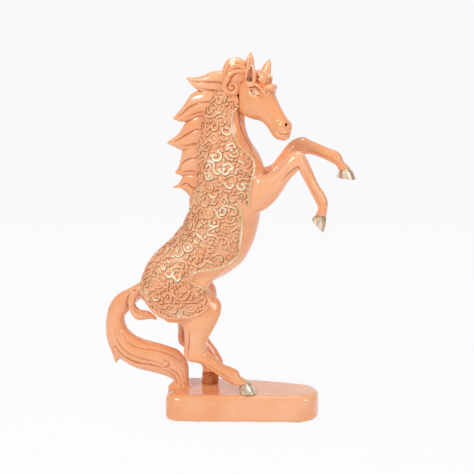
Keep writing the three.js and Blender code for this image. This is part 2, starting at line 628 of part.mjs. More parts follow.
place('mane', cutBy(maneForm(), [bodyGap, headGap]), finish.resin);
place('crest_tuft', cutBy(crestTuft(), [bodyGap, headGap, maneGap]), finish.resin);
place('forelock', cutBy(forelock(), [bodyGap, headGap, crestTuft(bond)]), finish.resin);
const crown = [bodyGap, headGap, maneGap, crestTuft(bond), forelock(bond)];
for (const [sideName, side] of Object.entries(sides)) {
  const { outer, hollow } = earForm(side, ear[`${sideName}Height`]);
  place(`ear_${sideName}`, cutBy(outer(), [hollow(), ...crown]), finish.resin);
}

for (const [sideName, side] of Object.entries(sides)) {
  const cheek = cheekCurl(side);
  place(`cheek_curl_${sideName}`, cutBy(cheek(), crown), finish.resin);
  const neighbours = [tailForm(bond), maneGap, headGap, cheek(bond), ...Object.values(legGaps)];
  const besideTrim = -(trim.width + bond);
  const outlines = {
    chest_panel: [...movedIn(chestFront, besideTrim), ...girth, ...chestBack],
    barrel_panel: [...movedIn([...barrelFront, ...thighRim], besideTrim), ...barrelBack],
    chest_trim: strip(chestFront, -trim.width),
    barrel_trim: strip(barrelFront, -trim.width),
    thigh_rim: strip(thighRim, -trim.width),
  };
  for (const [kind, fromMiddle] of [['chest', panel.chestFromMiddle], ['barrel', panel.barrelFromMiddle]]) {
    const drawn = outlines[`${kind}_panel`];
    const ground = raised(drawn, side, fromMiddle, bodyPanel, neighbours);
    const strokes = joined(ornament(kind).map((points) => prism(points, side, fromMiddle)));
    const carved = raised(drawn, side, fromMiddle, bodyScroll, neighbours).intersect(strokes);
    place(`${kind}_panel_${sideName}`, ground.add(carved), finish.resin);
  }
  const edges = {
    chest_trim: [panel.chestFromMiddle, finish.gilt],
    barrel_trim: [panel.barrelFromMiddle, finish.gilt],
    thigh_rim: [panel.rimFromMiddle, finish.resin],
  };
  for (const [name, [fromMiddle, material]] of Object.entries(edges)) {
    place(`${name}_${sideName}`, raised(outlines[name], side, fromMiddle, bodyTrim, neighbours), material);
  }
}

// The origin lies on the ground below the middle of the figurine's outer size
const middle = new THREE.Box3().setFromObject(figurine).getCenter(new THREE.Vector3());
standing.position.set(-middle.x, -middle.y, 0);

export default figurine;
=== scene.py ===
import math

import bpy
import numpy as np
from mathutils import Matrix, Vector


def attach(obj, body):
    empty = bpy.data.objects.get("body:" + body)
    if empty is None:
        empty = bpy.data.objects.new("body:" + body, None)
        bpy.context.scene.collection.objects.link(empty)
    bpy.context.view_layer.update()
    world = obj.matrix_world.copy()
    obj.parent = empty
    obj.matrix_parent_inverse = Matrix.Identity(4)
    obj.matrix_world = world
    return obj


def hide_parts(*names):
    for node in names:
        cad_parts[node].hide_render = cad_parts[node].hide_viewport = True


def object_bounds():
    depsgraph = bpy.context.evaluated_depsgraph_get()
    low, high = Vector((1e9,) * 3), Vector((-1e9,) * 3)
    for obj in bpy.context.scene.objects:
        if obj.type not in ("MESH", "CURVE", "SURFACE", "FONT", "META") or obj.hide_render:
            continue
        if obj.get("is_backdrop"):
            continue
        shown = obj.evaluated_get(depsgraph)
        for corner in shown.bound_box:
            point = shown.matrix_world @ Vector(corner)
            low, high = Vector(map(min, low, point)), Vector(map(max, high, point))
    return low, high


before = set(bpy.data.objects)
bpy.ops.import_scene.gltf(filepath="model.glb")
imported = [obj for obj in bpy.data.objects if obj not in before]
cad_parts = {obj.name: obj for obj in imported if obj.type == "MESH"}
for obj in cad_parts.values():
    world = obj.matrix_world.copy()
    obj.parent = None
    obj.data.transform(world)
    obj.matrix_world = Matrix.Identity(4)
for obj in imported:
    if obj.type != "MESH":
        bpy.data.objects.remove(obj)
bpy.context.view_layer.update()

import openvdb as vdb
from mathutils import Vector

# The horse is sculpted in millimetres in its own frame, on the plinth's top face, and moved by this at the end
SHIFT = np.array([15.55, -1.95, 29.0])
COARSE = 1.0
RIGHT, LEFT = -1, 1
SIDES = {"right": RIGHT, "left": LEFT}


# Curves and lofts

def spline(rows, per=6):
    """A smooth curve through rows of numbers."""
    rows = np.asarray(rows, float)
    padded = np.vstack([2 * rows[0] - rows[1], rows, 2 * rows[-1] - rows[-2]])
    out = []
    for i in range(len(rows) - 1):
        p0, p1, p2, p3 = padded[i:i + 4]
        for t in np.arange(per) / per:
            out.append(0.5 * (2 * p1 + (p2 - p0) * t + (2 * p0 - 5 * p1 + 4 * p2 - p3) * t ** 2
                              + (3 * p1 - p0 - 3 * p2 + p3) * t ** 3))
    out.append(rows[-1])
    return np.array(out)


def stations(table, y=0.0, shares=False):
    """Rows of two side-outline points, half thickness and y of the middle, or its share of y."""
    rows = []
    for back, front, half, *own in table:
        middle = (own[0] * y if shares else own[0]) if own else y
        rows.append([*back, *front, half, middle])
    return np.array(rows, float)


def ring(row, angle):
    """The point of a station's ring at an angle: 0 at its front, a quarter turn at its left side."""
    back, front, half, y = row[0:2], row[2:4], row[4], row[5]
    side = (back + front) / 2 + (front - back) / 2 * math.cos(angle)
    return np.array([side[0], y + half * math.sin(angle), side[1]])


def stretch(fine, start, stop):
    """The rows of a curve from one share of its length to another."""
    last = len(fine) - 1
    return fine[int(start * last):int(stop * last) + 1]


def loft(rows, sides=48, per=6, bulge=(0.3, 0.3), matrix=None):
    """The closed skin over a limb's stations, with rounded ends."""
    rows = spline(rows, per)
    angles = np.arange(sides) * 2 * np.pi / sides
    middle = np.stack([(rows[:, 0] + rows[:, 2]) / 2, rows[:, 5], (rows[:, 1] + rows[:, 3]) / 2], 1)
    across = np.stack([(rows[:, 2] - rows[:, 0]) / 2, 0 * rows[:, 5], (rows[:, 3] - rows[:, 1]) / 2], 1)
    thick = np.array([0, 1, 0]) * rows[:, 4:5]
    rings = (middle[:, None] + across[:, None] * np.cos(angles)[None, :, None]
             + thick[:, None] * np.sin(angles)[None, :, None])
    caps = []
    for end, inner, amount in ((0, 1, bulge[0]), (-1, -2, bulge[1])):
        unit = across[end] / np.linalg.norm(across[end])
        out = middle[end] - middle[inner]
        out -= unit * (out @ unit)
        out *= amount * rows[end, 4] / max(np.linalg.norm(out), 1e-9)
        extra = [middle[end] + (rings[end] - middle[end]) * math.sqrt(1 - s * s) + out * s
                 for s in (0.35, 0.65, 0.87, 0.97)] if amount > 0 else []
        caps.append((extra, middle[end] + out))
    rings = np.array([*caps[0][0][::-1], *rings, *caps[1][0]])
    count = len(rings)
    points = np.vstack([rings.reshape(-1, 3), caps[0][1], caps[1][1]])
    index = np.arange(count * sides).reshape(count, sides)
    after = np.roll(index, -1, 1)
    quads = np.stack([index[:-1], index[1:], after[1:], after[:-1]], -1).reshape(-1, 4)
    first, last = count * sides, count * sides + 1
    tris = np.vstack([np.stack([np.full(sides, first), index[0], after[0]], 1),
                      np.stack([np.full(sides, last), after[-1], index[-1]], 1)])
    if matrix is not None:
        points = points @ matrix.T
    return points.astype(np.float32), tris.astype(np.uint32), quads.astype(np.uint32)


# Distance fields on blocks of voxels: below zero inside the form

class Block:
    """A box of voxels between two corners, in millimetres."""

    def __init__(self, low, high, step):
        self.step = step * COARSE
        self.low = np.floor(np.array(low, float) / self.step).astype(int)
        top = np.ceil(np.array(high, float) / self.step).astype(int)
        self.shape = tuple(int(n) for n in top - self.low + 1)
        self.axes = [((self.low[i] + np.arange(self.shape[i])) * self.step).astype(np.float32) for i in range(3)]
        self.corner = tuple(int(n) for n in self.low)

    def grid(self):
        """The x, y and z of the voxels, each along its own axis."""
        x, y, z = self.axes
        return x[:, None, None], y[None, :, None], z[None, None, :]

    def solid(self, skin, reach=8.0):
        """The field of a closed skin."""
        points, tris, quads = skin
        transform = vdb.createLinearTransform(voxelSize=self.step)
        grid = vdb.FloatGrid.createLevelSetFromPolygons(
            points, triangles=tris, quads=quads, transform=transform, halfWidth=float(reach / self.step))
        out = np.empty(self.shape, np.float32)
        grid.copyToArray(out, ijk=self.corner)
        return out

    def part(self, low, high):
        """The index ranges, and the axes there, of the voxels between two corners."""
        cut = []
        for i in range(3):
            a = int(np.clip(np.floor(low[i] / self.step) - self.low[i], 0, self.shape[i]))
            b = int(np.clip(np.ceil(high[i] / self.step) - self.low[i] + 1, 0, self.shape[i]))
            cut.append(slice(a, b))
        x, y, z = (self.axes[i][cut[i]] for i in range(3))
        return tuple(cut), x[:, None, None], y[None, :, None], z[None, None, :]

    def tubes(self, paths, far=2.5):
        """Round tubes along paths of (points, radii), as far as far from them."""
        out = np.full(self.shape, far, np.float32)
        for points, radii in paths:
            points = np.asarray(points, float)
            radii = np.broadcast_to(np.asarray(radii, float), (len(points),))
            for p, q, rp, rq in zip(points, points[1:], radii, radii[1:]):
                margin = max(rp, rq) + far
                cut, x, y, z = self.part(np.minimum(p, q) - margin, np.maximum(p, q) + margin)
                if any(s.start >= s.stop for s in cut):
                    continue
                way = q - p
                share = ((x - p[0]) * way[0] + (y - p[1]) * way[1] + (z - p[2]) * way[2]) / max(way @ way, 1e-9)
                share = np.clip(share, 0, 1)
                gap = np.sqrt((x - p[0] - share * way[0]) ** 2 + (y - p[1] - share * way[1]) ** 2
                              + (z - p[2] - share * way[2]) ** 2) - (rp + share * (rq - rp))
                out[cut] = np.minimum(out[cut], gap)
        return out

    def blob(self, middle, radii, matrix=None, far=4.0):
        """An ellipsoid's field, with its axes turned by matrix."""
        out = np.full(self.shape, far, np.float32)
        reach = max(radii) + far
        middle = np.asarray(middle, float)
        cut, x, y, z = self.part(middle - reach, middle + reach)
        x, y, z = x - middle[0], y - middle[1], z - middle[2]
        turn = np.eye(3) if matrix is None else np.asarray(matrix)
        axes = [turn[0, i] * x + turn[1, i] * y + turn[2, i] * z for i in range(3)]
        near = np.sqrt(sum((a / r) ** 2 for a, r in zip(axes, radii)))
        slope = np.sqrt(sum((a / r ** 2) ** 2 for a, r in zip(axes, radii)))
        out[cut] = np.minimum(near * (near - 1) / np.maximum(slope, 1e-6), far)
        return out

    def resample(self, other, data):
        """Another block's field, read at this block's voxels."""
        out = data
        for axis in range(3):
            at = np.clip(self.axes[axis] / other.step - other.low[axis], 0, other.shape[axis] - 1.001)
            i = at.astype(int)
            shape = [1, 1, 1]
            shape[axis] = -1
            f = (at - i).astype(np.float32).reshape(shape)
            out = np.take(out, i, axis) * (1 - f) + np.take(out, i + 1, axis) * f
        return out


def join(a, b, soft):
    """Both forms, with a fillet where they meet."""
    share = np.clip(0.5 + 0.5 * (b - a) / soft, 0, 1)
    return b + share * (a - b) - soft * share * (1 - share)


def carve(a, b, soft):
    """The first form without the second, with a soft edge."""
    return -join(-a, b, soft)


def outline_distance(points, xs, zs):
    """Signed distance to a closed outline on a grid, below zero inside."""
    points = np.asarray(points, float)
    x, z = np.meshgrid(xs, zs, indexing="ij")
    best = np.full(x.shape, 1e9)
    inside = np.zeros(x.shape, bool)
    for a, b in zip(points, np.roll(points, -1, 0)):
        way = b - a
        share = np.clip(((x - a[0]) * way[0] + (z - a[1]) * way[1]) / max(way @ way, 1e-9), 0, 1)
        best = np.minimum(best, (x - a[0] - share * way[0]) ** 2 + (z - a[1] - share * way[1]) ** 2)
        if a[1] != b[1]:
            crosses = (a[1] <= z) != (b[1] <= z)
            inside ^= crosses & (x < a[0] + (z - a[1]) * way[0] / way[1])
    return (np.sqrt(best) * np.where(inside, -1, 1)).astype(np.float32)


def onto(block, field, x, z, side):
    """The outermost y of the surface at x, z on one side, or None."""
    i = int(round(x / block.step - block.low[0]))
    k = int(round(z / block.step - block.low[2]))
    if not (0 <= i < block.shape[0] and 0 <= k < block.shape[2]):
        return None
    column, y = field[i, :, k], block.axes[1]
    inside = np.nonzero(column < 0)[0]
    if not len(inside):
        return None
    j = inside[-1] if side > 0 else inside[0]
    step = 1 if side > 0 else -1
    if not 0 <= j + step < len(column):
        return None
    a, b = column[j], column[j + step]
    return float(y[j] + (y[j + step] - y[j]) * a / (a - b))


def laid(block, field, points, side, per=8, lift=0.0):
    """A curve drawn from the side, laid on the surface."""
    out = []
    for x, z in spline(points, per):
        y = onto(block, field, x, z, side)
        if y is not None:
            out.append([x, y + side * lift, z])
    return np.array(out)


# Meshes

def neighbours_mean(points, start, end, count):
    """The mean of each point's neighbours along the edges from start to end."""
    total = np.stack([np.bincount(start, points[end, i], len(points)) for i in range(3)], 1)
    return total / count[:, None]


def keep_large(points, quads, least=0.02):
    """Drops loose crumbs smaller than a share of the largest shell."""
    label = np.arange(len(points))
    while True:
        low = label[quads].min(1)
        new = label.copy()
        for i in range(4):
            np.minimum.at(new, quads[:, i], low)
        new = new[new]
        if (new == label).all():
            break
        label = new
    names, sizes = np.unique(label, return_counts=True)
    kept = np.isin(label, names[sizes >= least * sizes.max()])
    index = np.cumsum(kept) - 1
    return points[kept], index[quads[kept[quads[:, 0]]]]


def surface(block, data, passes=2):
    """The closed mesh of a field, smoothed without shrinking it."""
    data = np.ascontiguousarray(data, np.float32)
    for axis in range(3):
        for edge in (0, -1):
            cut = [slice(None)] * 3
            cut[axis] = edge
            data[tuple(cut)] = np.maximum(data[tuple(cut)], block.step)
    grid = vdb.FloatGrid(float(data.max()))
    grid.transform = vdb.createLinearTransform(voxelSize=block.step)
    grid.copyFromArray(data, ijk=block.corner)
    points, quads = grid.convertToQuads(isovalue=0.0)
    points, quads = keep_large(points.astype(float), quads.astype(np.int64))
    start, end = quads.ravel(), np.roll(quads, -1, 1).ravel()
    count = np.bincount(start, minlength=len(points)).astype(float)
    for _ in range(passes):
        for amount in (0.5, -0.52):
            points = points + amount * (neighbours_mean(points, start, end, count) - points)
    return points, quads


def normals_of(points, quads):
    """The outward unit normal at each point."""
    a, b, c, d = (points[quads[:, i]] for i in range(4))
    face = np.cross(c - a, d - b)
    total = np.stack([sum(np.bincount(quads[:, k], face[:, i], len(points)) for k in range(4)) for i in range(3)], 1)
    return total / np.maximum(np.linalg.norm(total, axis=1), 1e-12)[:, None]


def hollowness(points, quads, reach):
    """How far each point lies below, or above where negative, its surroundings."""
    start, end = quads.ravel(), np.roll(quads, -1, 1).ravel()
    count = np.bincount(start, minlength=len(points)).astype(float)
    spread = points
    for _ in range(reach):
        spread = spread + 0.9 * (neighbours_mean(spread, start, end, count) - spread)
    return ((spread - points) * normals_of(points, quads)).sum(1)


def added(name, data):
    """A new object in the scene."""
    obj = bpy.data.objects.new(name, data)
    bpy.context.scene.collection.objects.link(obj)
    return obj


def piece(name, points, quads, material, nodes, attributes):
    """A mesh in the row's frame and in metres, standing for the nodes."""
    mesh = bpy.data.meshes.new(name)
    mesh.vertices.add(len(points))
    mesh.vertices.foreach_set("co", ((points + SHIFT) / 1000).astype(np.float32).ravel())
    mesh.loops.add(quads.size)
    mesh.loops.foreach_set("vertex_index", quads.astype(np.int32).ravel())
    mesh.polygons.add(len(quads))
    mesh.polygons.foreach_set("loop_start", (np.arange(len(quads)) * 4).astype(np.int32))
    mesh.polygons.foreach_set("use_smooth", np.ones(len(quads), bool))
    for key, values in attributes.items():
        mesh.attributes.new(key, "FLOAT", "POINT").data.foreach_set("value", values.astype(np.float32))
    mesh.update(calc_edges=True)
    mesh.validate()
    mesh.materials.append(material)
    obj = added(name, mesh)
    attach(obj, "root")
    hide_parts(*nodes)


def sculpted(name, block, data, material, nodes, passes=2, reach=1.6, more=None):
    """The piece of a field, with how hollow it is within reach at each point and what else more gives."""
    points, quads = surface(block, data, passes)
    rounds = max(3, int((reach / block.step) ** 2 * 2))
    attributes = {"hollow": hollowness(points, quads, rounds)}
    if more:
        attributes.update(more(points))
    piece(name, points, quads, material, nodes, attributes)


# Materials

def colour(red, green, blue):
    """A paint colour as it is seen, 0 to 255, as the shader takes it."""
    def linear(value):
        value /= 255
        return value / 12.92 if value <= 0.04045 else ((value + 0.055) / 1.055) ** 2.4
    return (linear(red), linear(green), linear(blue), 1)


class Nodes:
    """A material's node tree, built by calls that each give an output socket."""

    def __init__(self, name):
        self.material = bpy.data.materials.new(name)
        self.material.use_nodes = True
        self.tree = self.material.node_tree
        self.shader = self.tree.nodes["Principled BSDF"]

    def add(self, kind, **values):
        node = self.tree.nodes.new(kind)
        for key, value in values.items():
            setattr(node, key, value)
        return node

    def link(self, output, target):
        self.tree.links.new(output, target)

    def feed(self, output, name):
        self.link(output, self.shader.inputs[name])

    def attribute(self, name):
        return self.add("ShaderNodeAttribute", attribute_name=name).outputs["Fac"]

    def place(self):
        return self.add("ShaderNodeNewGeometry").outputs["Position"]

    def noise(self, scale, detail=3.0, rough=0.55):
        node = self.add("ShaderNodeTexNoise")
        node.inputs["Scale"].default_value = scale
        node.inputs["Detail"].default_value = detail
        node.inputs["Roughness"].default_value = rough
        self.link(self.place(), node.inputs["Vector"])
        return node.outputs["Fac"]

    def spread(self, value, low, high, to_low=0.0, to_high=1.0):
        """A soft step from one number to another as the value goes from low to high."""
        node = self.add("ShaderNodeMapRange", interpolation_type="SMOOTHSTEP", clamp=True)
        self.link(value, node.inputs["Value"])
        for key, number in (("From Min", low), ("From Max", high), ("To Min", to_low), ("To Max", to_high)):
            node.inputs[key].default_value = number
        return node.outputs["Result"]

    def math(self, operation, a, b):
        node = self.add("ShaderNodeMath", operation=operation)
        for socket, value in zip(node.inputs, (a, b)):
            if isinstance(value, (int, float)):
                socket.default_value = value
            else:
                self.link(value, socket)
        return node.outputs[0]

    def mix(self, share, a, b):
        node = self.add("ShaderNodeMix", data_type="RGBA")
        factor, first, second = node.inputs[0], node.inputs[6], node.inputs[7]
        for socket, value in ((factor, share), (first, a), (second, b)):
            if isinstance(value, (tuple, float, int)):
                socket.default_value = value
            else:
                self.link(value, socket)
        return node.outputs[2]

    def bump(self, height, strength, distance):
        node = self.add("ShaderNodeBump")
        node.inputs["Strength"].default_value = strength
        node.inputs["Distance"].default_value = distance
        self.link(height, node.inputs["Height"])
        self.feed(node.outputs["Normal"], "Normal")

    def set(self, **values):
        for key, value in values.items():
            self.shader.inputs[key.replace("_", " ")].default_value = value


PEACH = colour(249, 168, 110)
# A paler peach: random paler tone, and painted highlight on the ridges
PEACH_PALE_TONE_AND_HIGHLIGHT = colour(254, 186, 136)
# Deeper peach and brown: painted shade for the hollows
PEACH_PAINTED_SHADE = colour(206, 112, 60)
BROWN_PAINTED_SHADE = colour(122, 62, 30)
GOLD = colour(232, 198, 142)
# A paler gold: random paler tone, the bun's rubbed gold, and painted highlight on the relief's highest ridges
GOLD_PALE_TONE_AND_HIGHLIGHT = colour(252, 238, 206)
# Dark gold: painted shade for gold's hollows
GOLD_PAINTED_SHADE = colour(132, 84, 44)


def resin_paint(name, shade_depth=1.0, rubbed=False):
    """Glossy peach paint: painted shade makes it a little deeper in the hollows, and painted highlights paler on the
    ridges.
    """
    n = Nodes(name)
    hollow = n.attribute("hollow")
    cloud = n.noise(22.0)
    base = n.mix(n.spread(cloud, 0.35, 0.7), PEACH, PEACH_PALE_TONE_AND_HIGHLIGHT)
    # Painted shade: deeper peach, then brown, in the hollows
    base = n.mix(n.spread(hollow, 0.04, 0.4, 0.0, min(0.9 * shade_depth, 1.0)), base, PEACH_PAINTED_SHADE)
    base = n.mix(n.spread(hollow, 0.25, 0.8, 0.0, min(0.75 * shade_depth, 1.0)), base, BROWN_PAINTED_SHADE)
    # Painted highlights: paler peach, then cream, on the ridges and sharp convex edges
    base = n.mix(n.spread(hollow, -0.7, -0.1, 0.5, 0.0), base, PEACH_PALE_TONE_AND_HIGHLIGHT)
    base = n.mix(n.spread(hollow, -1.3, -0.5, 0.6, 0.0), base, colour(255, 222, 182))
    n.feed(base, "Base Color")
    n.feed(n.spread(n.noise(160.0, 2.0), 0.3, 0.7, 0.2, 0.28), "Roughness")
    n.bump(n.noise(90.0, 4.0), 0.1, 0.0006)
    if rubbed:
        pale = n.math("ADD", n.attribute("rubbed"), n.math("MULTIPLY", n.math("SUBTRACT", cloud, 0.5), 0.8))
        base = n.mix(n.spread(pale, 0.4, 0.75), base, GOLD_PALE_TONE_AND_HIGHLIGHT)
        n.feed(base, "Base Color")
    n.set(Coat_Weight=0.8, Coat_Roughness=0.06, Specular_IOR_Level=0.5)
    return n.material


def relief_paint(name):
    """Peach ground with painted shade in its hollows, a painted shadow line along the scrolls to their lower right and
    painted highlights on its convex parts, and pale gold brushed over the ridges, paler on their tops as painted
    highlight.
    """
    n = Nodes(name)
    hollow = n.attribute("hollow")
    height = n.attribute("relief")
    patch = n.noise(34.0)
    fine = n.noise(420.0, 3.0, 0.7)
    ground = n.mix(n.spread(patch, 0.35, 0.65), colour(244, 166, 116), colour(251, 186, 144))
    # Painted shade in the hollows of the ground, and painted highlight on its convex parts
    ground = n.mix(n.spread(hollow, 0.05, 0.35, 0.0, 0.45), ground, colour(204, 126, 78))
    ground = n.mix(n.spread(hollow, -0.3, -0.04, 0.6, 0.0), ground, colour(253, 204, 162))
    # Painted shadow: a brown line along the strokes on their lower right side, where shade falls
    line = n.math("MULTIPLY", n.attribute("shadow_line"), n.spread(n.noise(90.0, 2.0), 0.3, 0.6, 0.5, 1.0))
    ground = n.mix(n.spread(line, 0.2, 0.85, 0.0, 0.9), ground, colour(128, 74, 38))
    brushed = n.math("ADD", n.spread(height, 0.3, 0.8), n.math("MULTIPLY", n.math("SUBTRACT", fine, 0.5), 0.6))
    brushed = n.math("ADD", brushed, n.math("MULTIPLY", n.math("SUBTRACT", patch, 0.5), 1.6))
    brushed = n.math("ADD", brushed, n.math("MULTIPLY", n.attribute("gilt"), 0.75))
    gilt = n.spread(brushed, 0.72, 1.25)
    # Gold turns paler where brushed most, on the highest ridges and gilded patches: partly real gilding, partly
    # painted highlight
    metal = n.mix(n.spread(brushed, 0.95, 1.5), GOLD, GOLD_PALE_TONE_AND_HIGHLIGHT)
    n.feed(n.mix(gilt, ground, metal), "Base Color")
    n.feed(n.spread(gilt, 0.0, 1.0, 0.0, 0.35), "Metallic")
    n.feed(n.spread(fine, 0.3, 0.7, 0.26, 0.38), "Roughness")
    n.bump(fine, 0.15, 0.0004)
    return n.material


def gold_paint(name, shade=1.0):
    """Soft gold paint, darker in the hollows with painted shade."""
    n = Nodes(name)
    hollow = n.attribute("hollow")
    base = n.mix(n.spread(n.noise(60.0), 0.35, 0.65), GOLD, GOLD_PALE_TONE_AND_HIGHLIGHT)
    # Painted shade: darker gold in the hollows
    base = n.mix(n.spread(hollow, 0.02, 0.3, 0.0, 0.85 * shade), base, GOLD_PAINTED_SHADE)
    n.feed(base, "Base Color")
    n.feed(n.spread(n.noise(200.0), 0.3, 0.7, 0.22, 0.36), "Roughness")
    n.bump(n.noise(300.0), 0.15, 0.0004)
    n.set(Metallic=0.45)
    return n.material


resin = resin_paint("peach_resin")
relief = relief_paint("gilded_relief")
gold = gold_paint("gold_paint")
bead_gold = gold_paint("bead_gold")


# The stations: two points of the side outline, half the thickness, and the middle's y or its share of the leg's

TRUNK = stations([
    [[-96, 108], [-52, 101], 19], [[-102.8, 121.6], [-39, 111], 27], [[-95.6, 136.9], [-20, 121], 30.5],
    [[-85.4, 148], [-6, 131], 31.5], [[-74, 158.5], [3, 141], 31.5], [[-62, 174], [11.6, 158.8], 31],
    [[-55, 190], [16, 175], 30], [[-53.5, 205], [19.2, 194.6], 28], [[-48, 221], [22, 215], 30],
    [[-47, 239], [22.4, 233.2], 30.5], [[-47, 256], [17.3, 248.4], 27], [[-45, 270], [9, 261], 22.5],
    [[-43, 283], [4.2, 271.6], 19], [[-40, 297], [2.2, 281.8], 17], [[-33, 310], [2.4, 290.4], 15.5],
    [[-22, 321], [5, 299], 14]])
THIGH = [
    [[-79, 75.5], [-52, 77], 8], [[-90, 82], [-38, 83], 14], [[-98.5, 92], [-30, 93], 17],
    [[-104, 105], [-31, 103.8], 18], [[-102.8, 119.6], [-34, 112], 18], [[-94.8, 134], [-26, 123], 16],
    [[-84.6, 146], [-13, 137], 13]]
FORE_RIGHT = stations([
    [[4, 194], [0, 228], 7, 0.65], [[19.5, 192], [12, 229], 9.5, 0.8], [[32.5, 201], [26, 231], 12, 0.94],
    [[42.6, 214], [37, 238.5], 11], [[50, 226], [46.4, 248.5], 9.8], [[57, 233.5], [53, 254.6], 9],
    [[59, 236.5], [61.8, 255], 8.6], [[60.5, 233.5], [67, 248.2], 7.8], [[65.5, 224.5], [73.4, 235], 6.4],
    [[70.5, 215], [79.2, 222.2], 5.9], [[76, 204.5], [86, 211.6], 5.8], [[78.8, 198.5], [89, 203.6], 6.2],
    [[78.6, 195], [88.6, 196.6], 6], [[76.5, 191.5], [87.6, 189.6], 6.2]], -17, True)
FORE_LEFT = stations([
    [[5, 198], [1, 228], 7, 0.65], [[20, 201], [14, 232], 9.5, 0.8], [[34, 212], [26.8, 236], 11.5, 0.94],
    [[44, 223], [35.6, 246], 10.8], [[52, 234], [43.8, 257], 9.8], [[57, 242], [51.8, 263.5], 9.2],
    [[60.5, 246], [61, 265.5], 8.8], [[65, 248], [69, 262], 7.6], [[73, 246.5], [77, 258.7], 6.4],
    [[82, 243.2], [86.4, 254.6], 6.2], [[88.5, 240.2], [94.6, 252], 6.5], [[93, 238], [99.6, 248], 6.5],
    [[95.5, 235.6], [102.6, 241.2], 6], [[97.6, 231.4], [108.8, 235], 6.6]], 17, True)
HIND_RIGHT = stations([
    [[-76, 100], [-33, 107], 9, 0.79], [[-70, 84], [-22, 97.5], 12, 0.84], [[-63, 75], [-20.4, 87], 12.5, 0.92],
    [[-59.5, 67], [-24.6, 75], 11.5], [[-58.5, 59], [-30.6, 63.5], 10], [[-58.5, 50], [-35.2, 54.5], 9],
    [[-59.5, 41], [-35.8, 49.5], 8.6], [[-56, 33.5], [-34, 43.5], 8], [[-43, 31], [-27.6, 38.4], 7.2],
    [[-32, 24.5], [-19, 31.2], 6.8], [[-21, 17], [-10, 27.8], 6.8], [[-12, 11.6], [-3, 24.2], 7],
    [[-6, 8.5], [0.6, 17.8], 7], [[-1.9, 9.4], [8.8, 13.2], 7.2]], -19, True)
HIND_LEFT = stations([
    [[-84, 102], [-44, 108], 9, 0.79], [[-79, 86], [-38, 94], 12, 0.84], [[-74, 77], [-35, 83], 12.5, 0.92],
    [[-72.5, 67], [-38, 71], 11.5], [[-71.5, 57], [-40, 59.5], 10], [[-72, 48], [-40.8, 51.5], 9],
    [[-70, 41.2], [-37.6, 46.6], 8.6], [[-63.5, 36], [-32.6, 40], 8], [[-55, 27], [-27.6, 32], 7.6],
    [[-46.4, 18.5], [-23.2, 22], 7.4], [[-45.6, 12], [-27, 13.6], 7.2]], 19, True)
TAIL = stations([
    [[-97, 117], [-94, 98], 8], [[-108, 112], [-105, 96], 8.5], [[-120, 105], [-113, 89], 9.5],
    [[-132.3, 98], [-119, 82], 10], [[-141.4, 86.2], [-124.5, 76], 10.5], [[-145.4, 68], [-125.5, 69], 11],
    [[-144, 51], [-122.5, 61.2], 11.5], [[-138, 35.5], [-116, 55], 12], [[-126, 25], [-106.4, 50.2], 12],
    [[-112, 18], [-94.6, 47.4], 11.5], [[-96, 14.5], [-81.6, 44], 11], [[-84, 11.5], [-67.6, 38.4], 10],
    [[-75.5, 8], [-58.5, 25], 9], [[-73, 4.5], [-57.5, 10], 9], [[-78, 0.3], [-57.5, 0.3], 10]])
TAIL_TIP = stations([
    [[-143.5, 68], [-131, 62], 6], [[-143.9, 51], [-130, 47], 6.5], [[-140.6, 40], [-128.5, 37.5], 6],
    [[-138, 31.5], [-129.8, 30.5], 4.5], [[-136.3, 25], [-133.5, 25.4], 2.2]], -2)
TAIL_CURL = stations([
    [[-118, 104], [-107, 99], 6], [[-119.5, 96], [-109.5, 97], 6], [[-120, 90], [-112, 91], 6],
    [[-118.5, 83], [-111.3, 87.5], 5.8], [[-113.5, 75], [-108, 84.5], 5.6], [[-107, 72.6], [-103.5, 83.3], 5.2],
    [[-101, 73.6], [-98.5, 82.5], 4.6], [[-95.5, 74.3], [-94.5, 79.8], 3.6], [[-90.8, 73.2], [-90.2, 76.2], 1.6]], -8)
MANE = [stations(table) for table in (
    [[[-16, 300], [-8, 331], 9, 0], [[-27, 309], [-18, 334.5], 9, -1], [[-40, 311.4], [-31.5, 333.6], 8, -2],
     [[-49.6, 317], [-44, 328.5], 5.5, -3], [[-57, 326], [-57, 327.6], 1.2, -5]],
    [[[-28, 284], [-22, 320], 9.5, 0], [[-42, 287], [-38, 316], 9, -2], [[-54, 282.8], [-52, 311], 7, -3],
     [[-63, 281.8], [-62, 297], 5, -4], [[-71.5, 285], [-70.5, 287], 1.2, -6]],
    [[[-34, 252], [-30, 292], 10, 0], [[-48, 252], [-46, 293], 9, -1], [[-60, 251.4], [-58, 282.5], 7, -2],
     [[-69.5, 255.2], [-66.5, 269.4], 5, -3], [[-78.3, 259.6], [-77.8, 261.2], 1.2, -4]],
    [[[-36, 222], [-34, 264], 10, 0], [[-52, 224], [-52, 262], 8.5, -1], [[-62, 225], [-62, 252], 6.5, -1],
     [[-66.5, 226.8], [-65.6, 238], 4, -1], [[-69.6, 227.4], [-69.8, 229.4], 1.2, -1]],
    [[[-36, 190], [-34, 232], 9.5, 0], [[-50, 191], [-49, 233], 8.5, -1], [[-56, 205], [-59.5, 229], 6.5, -1],
     [[-64, 212.2], [-66, 218.5], 4, -2], [[-72.5, 212.8], [-72, 214], 1.2, -2]])]

# Borders of the two coats of relief on the side view, the thigh's lip between them and the legs

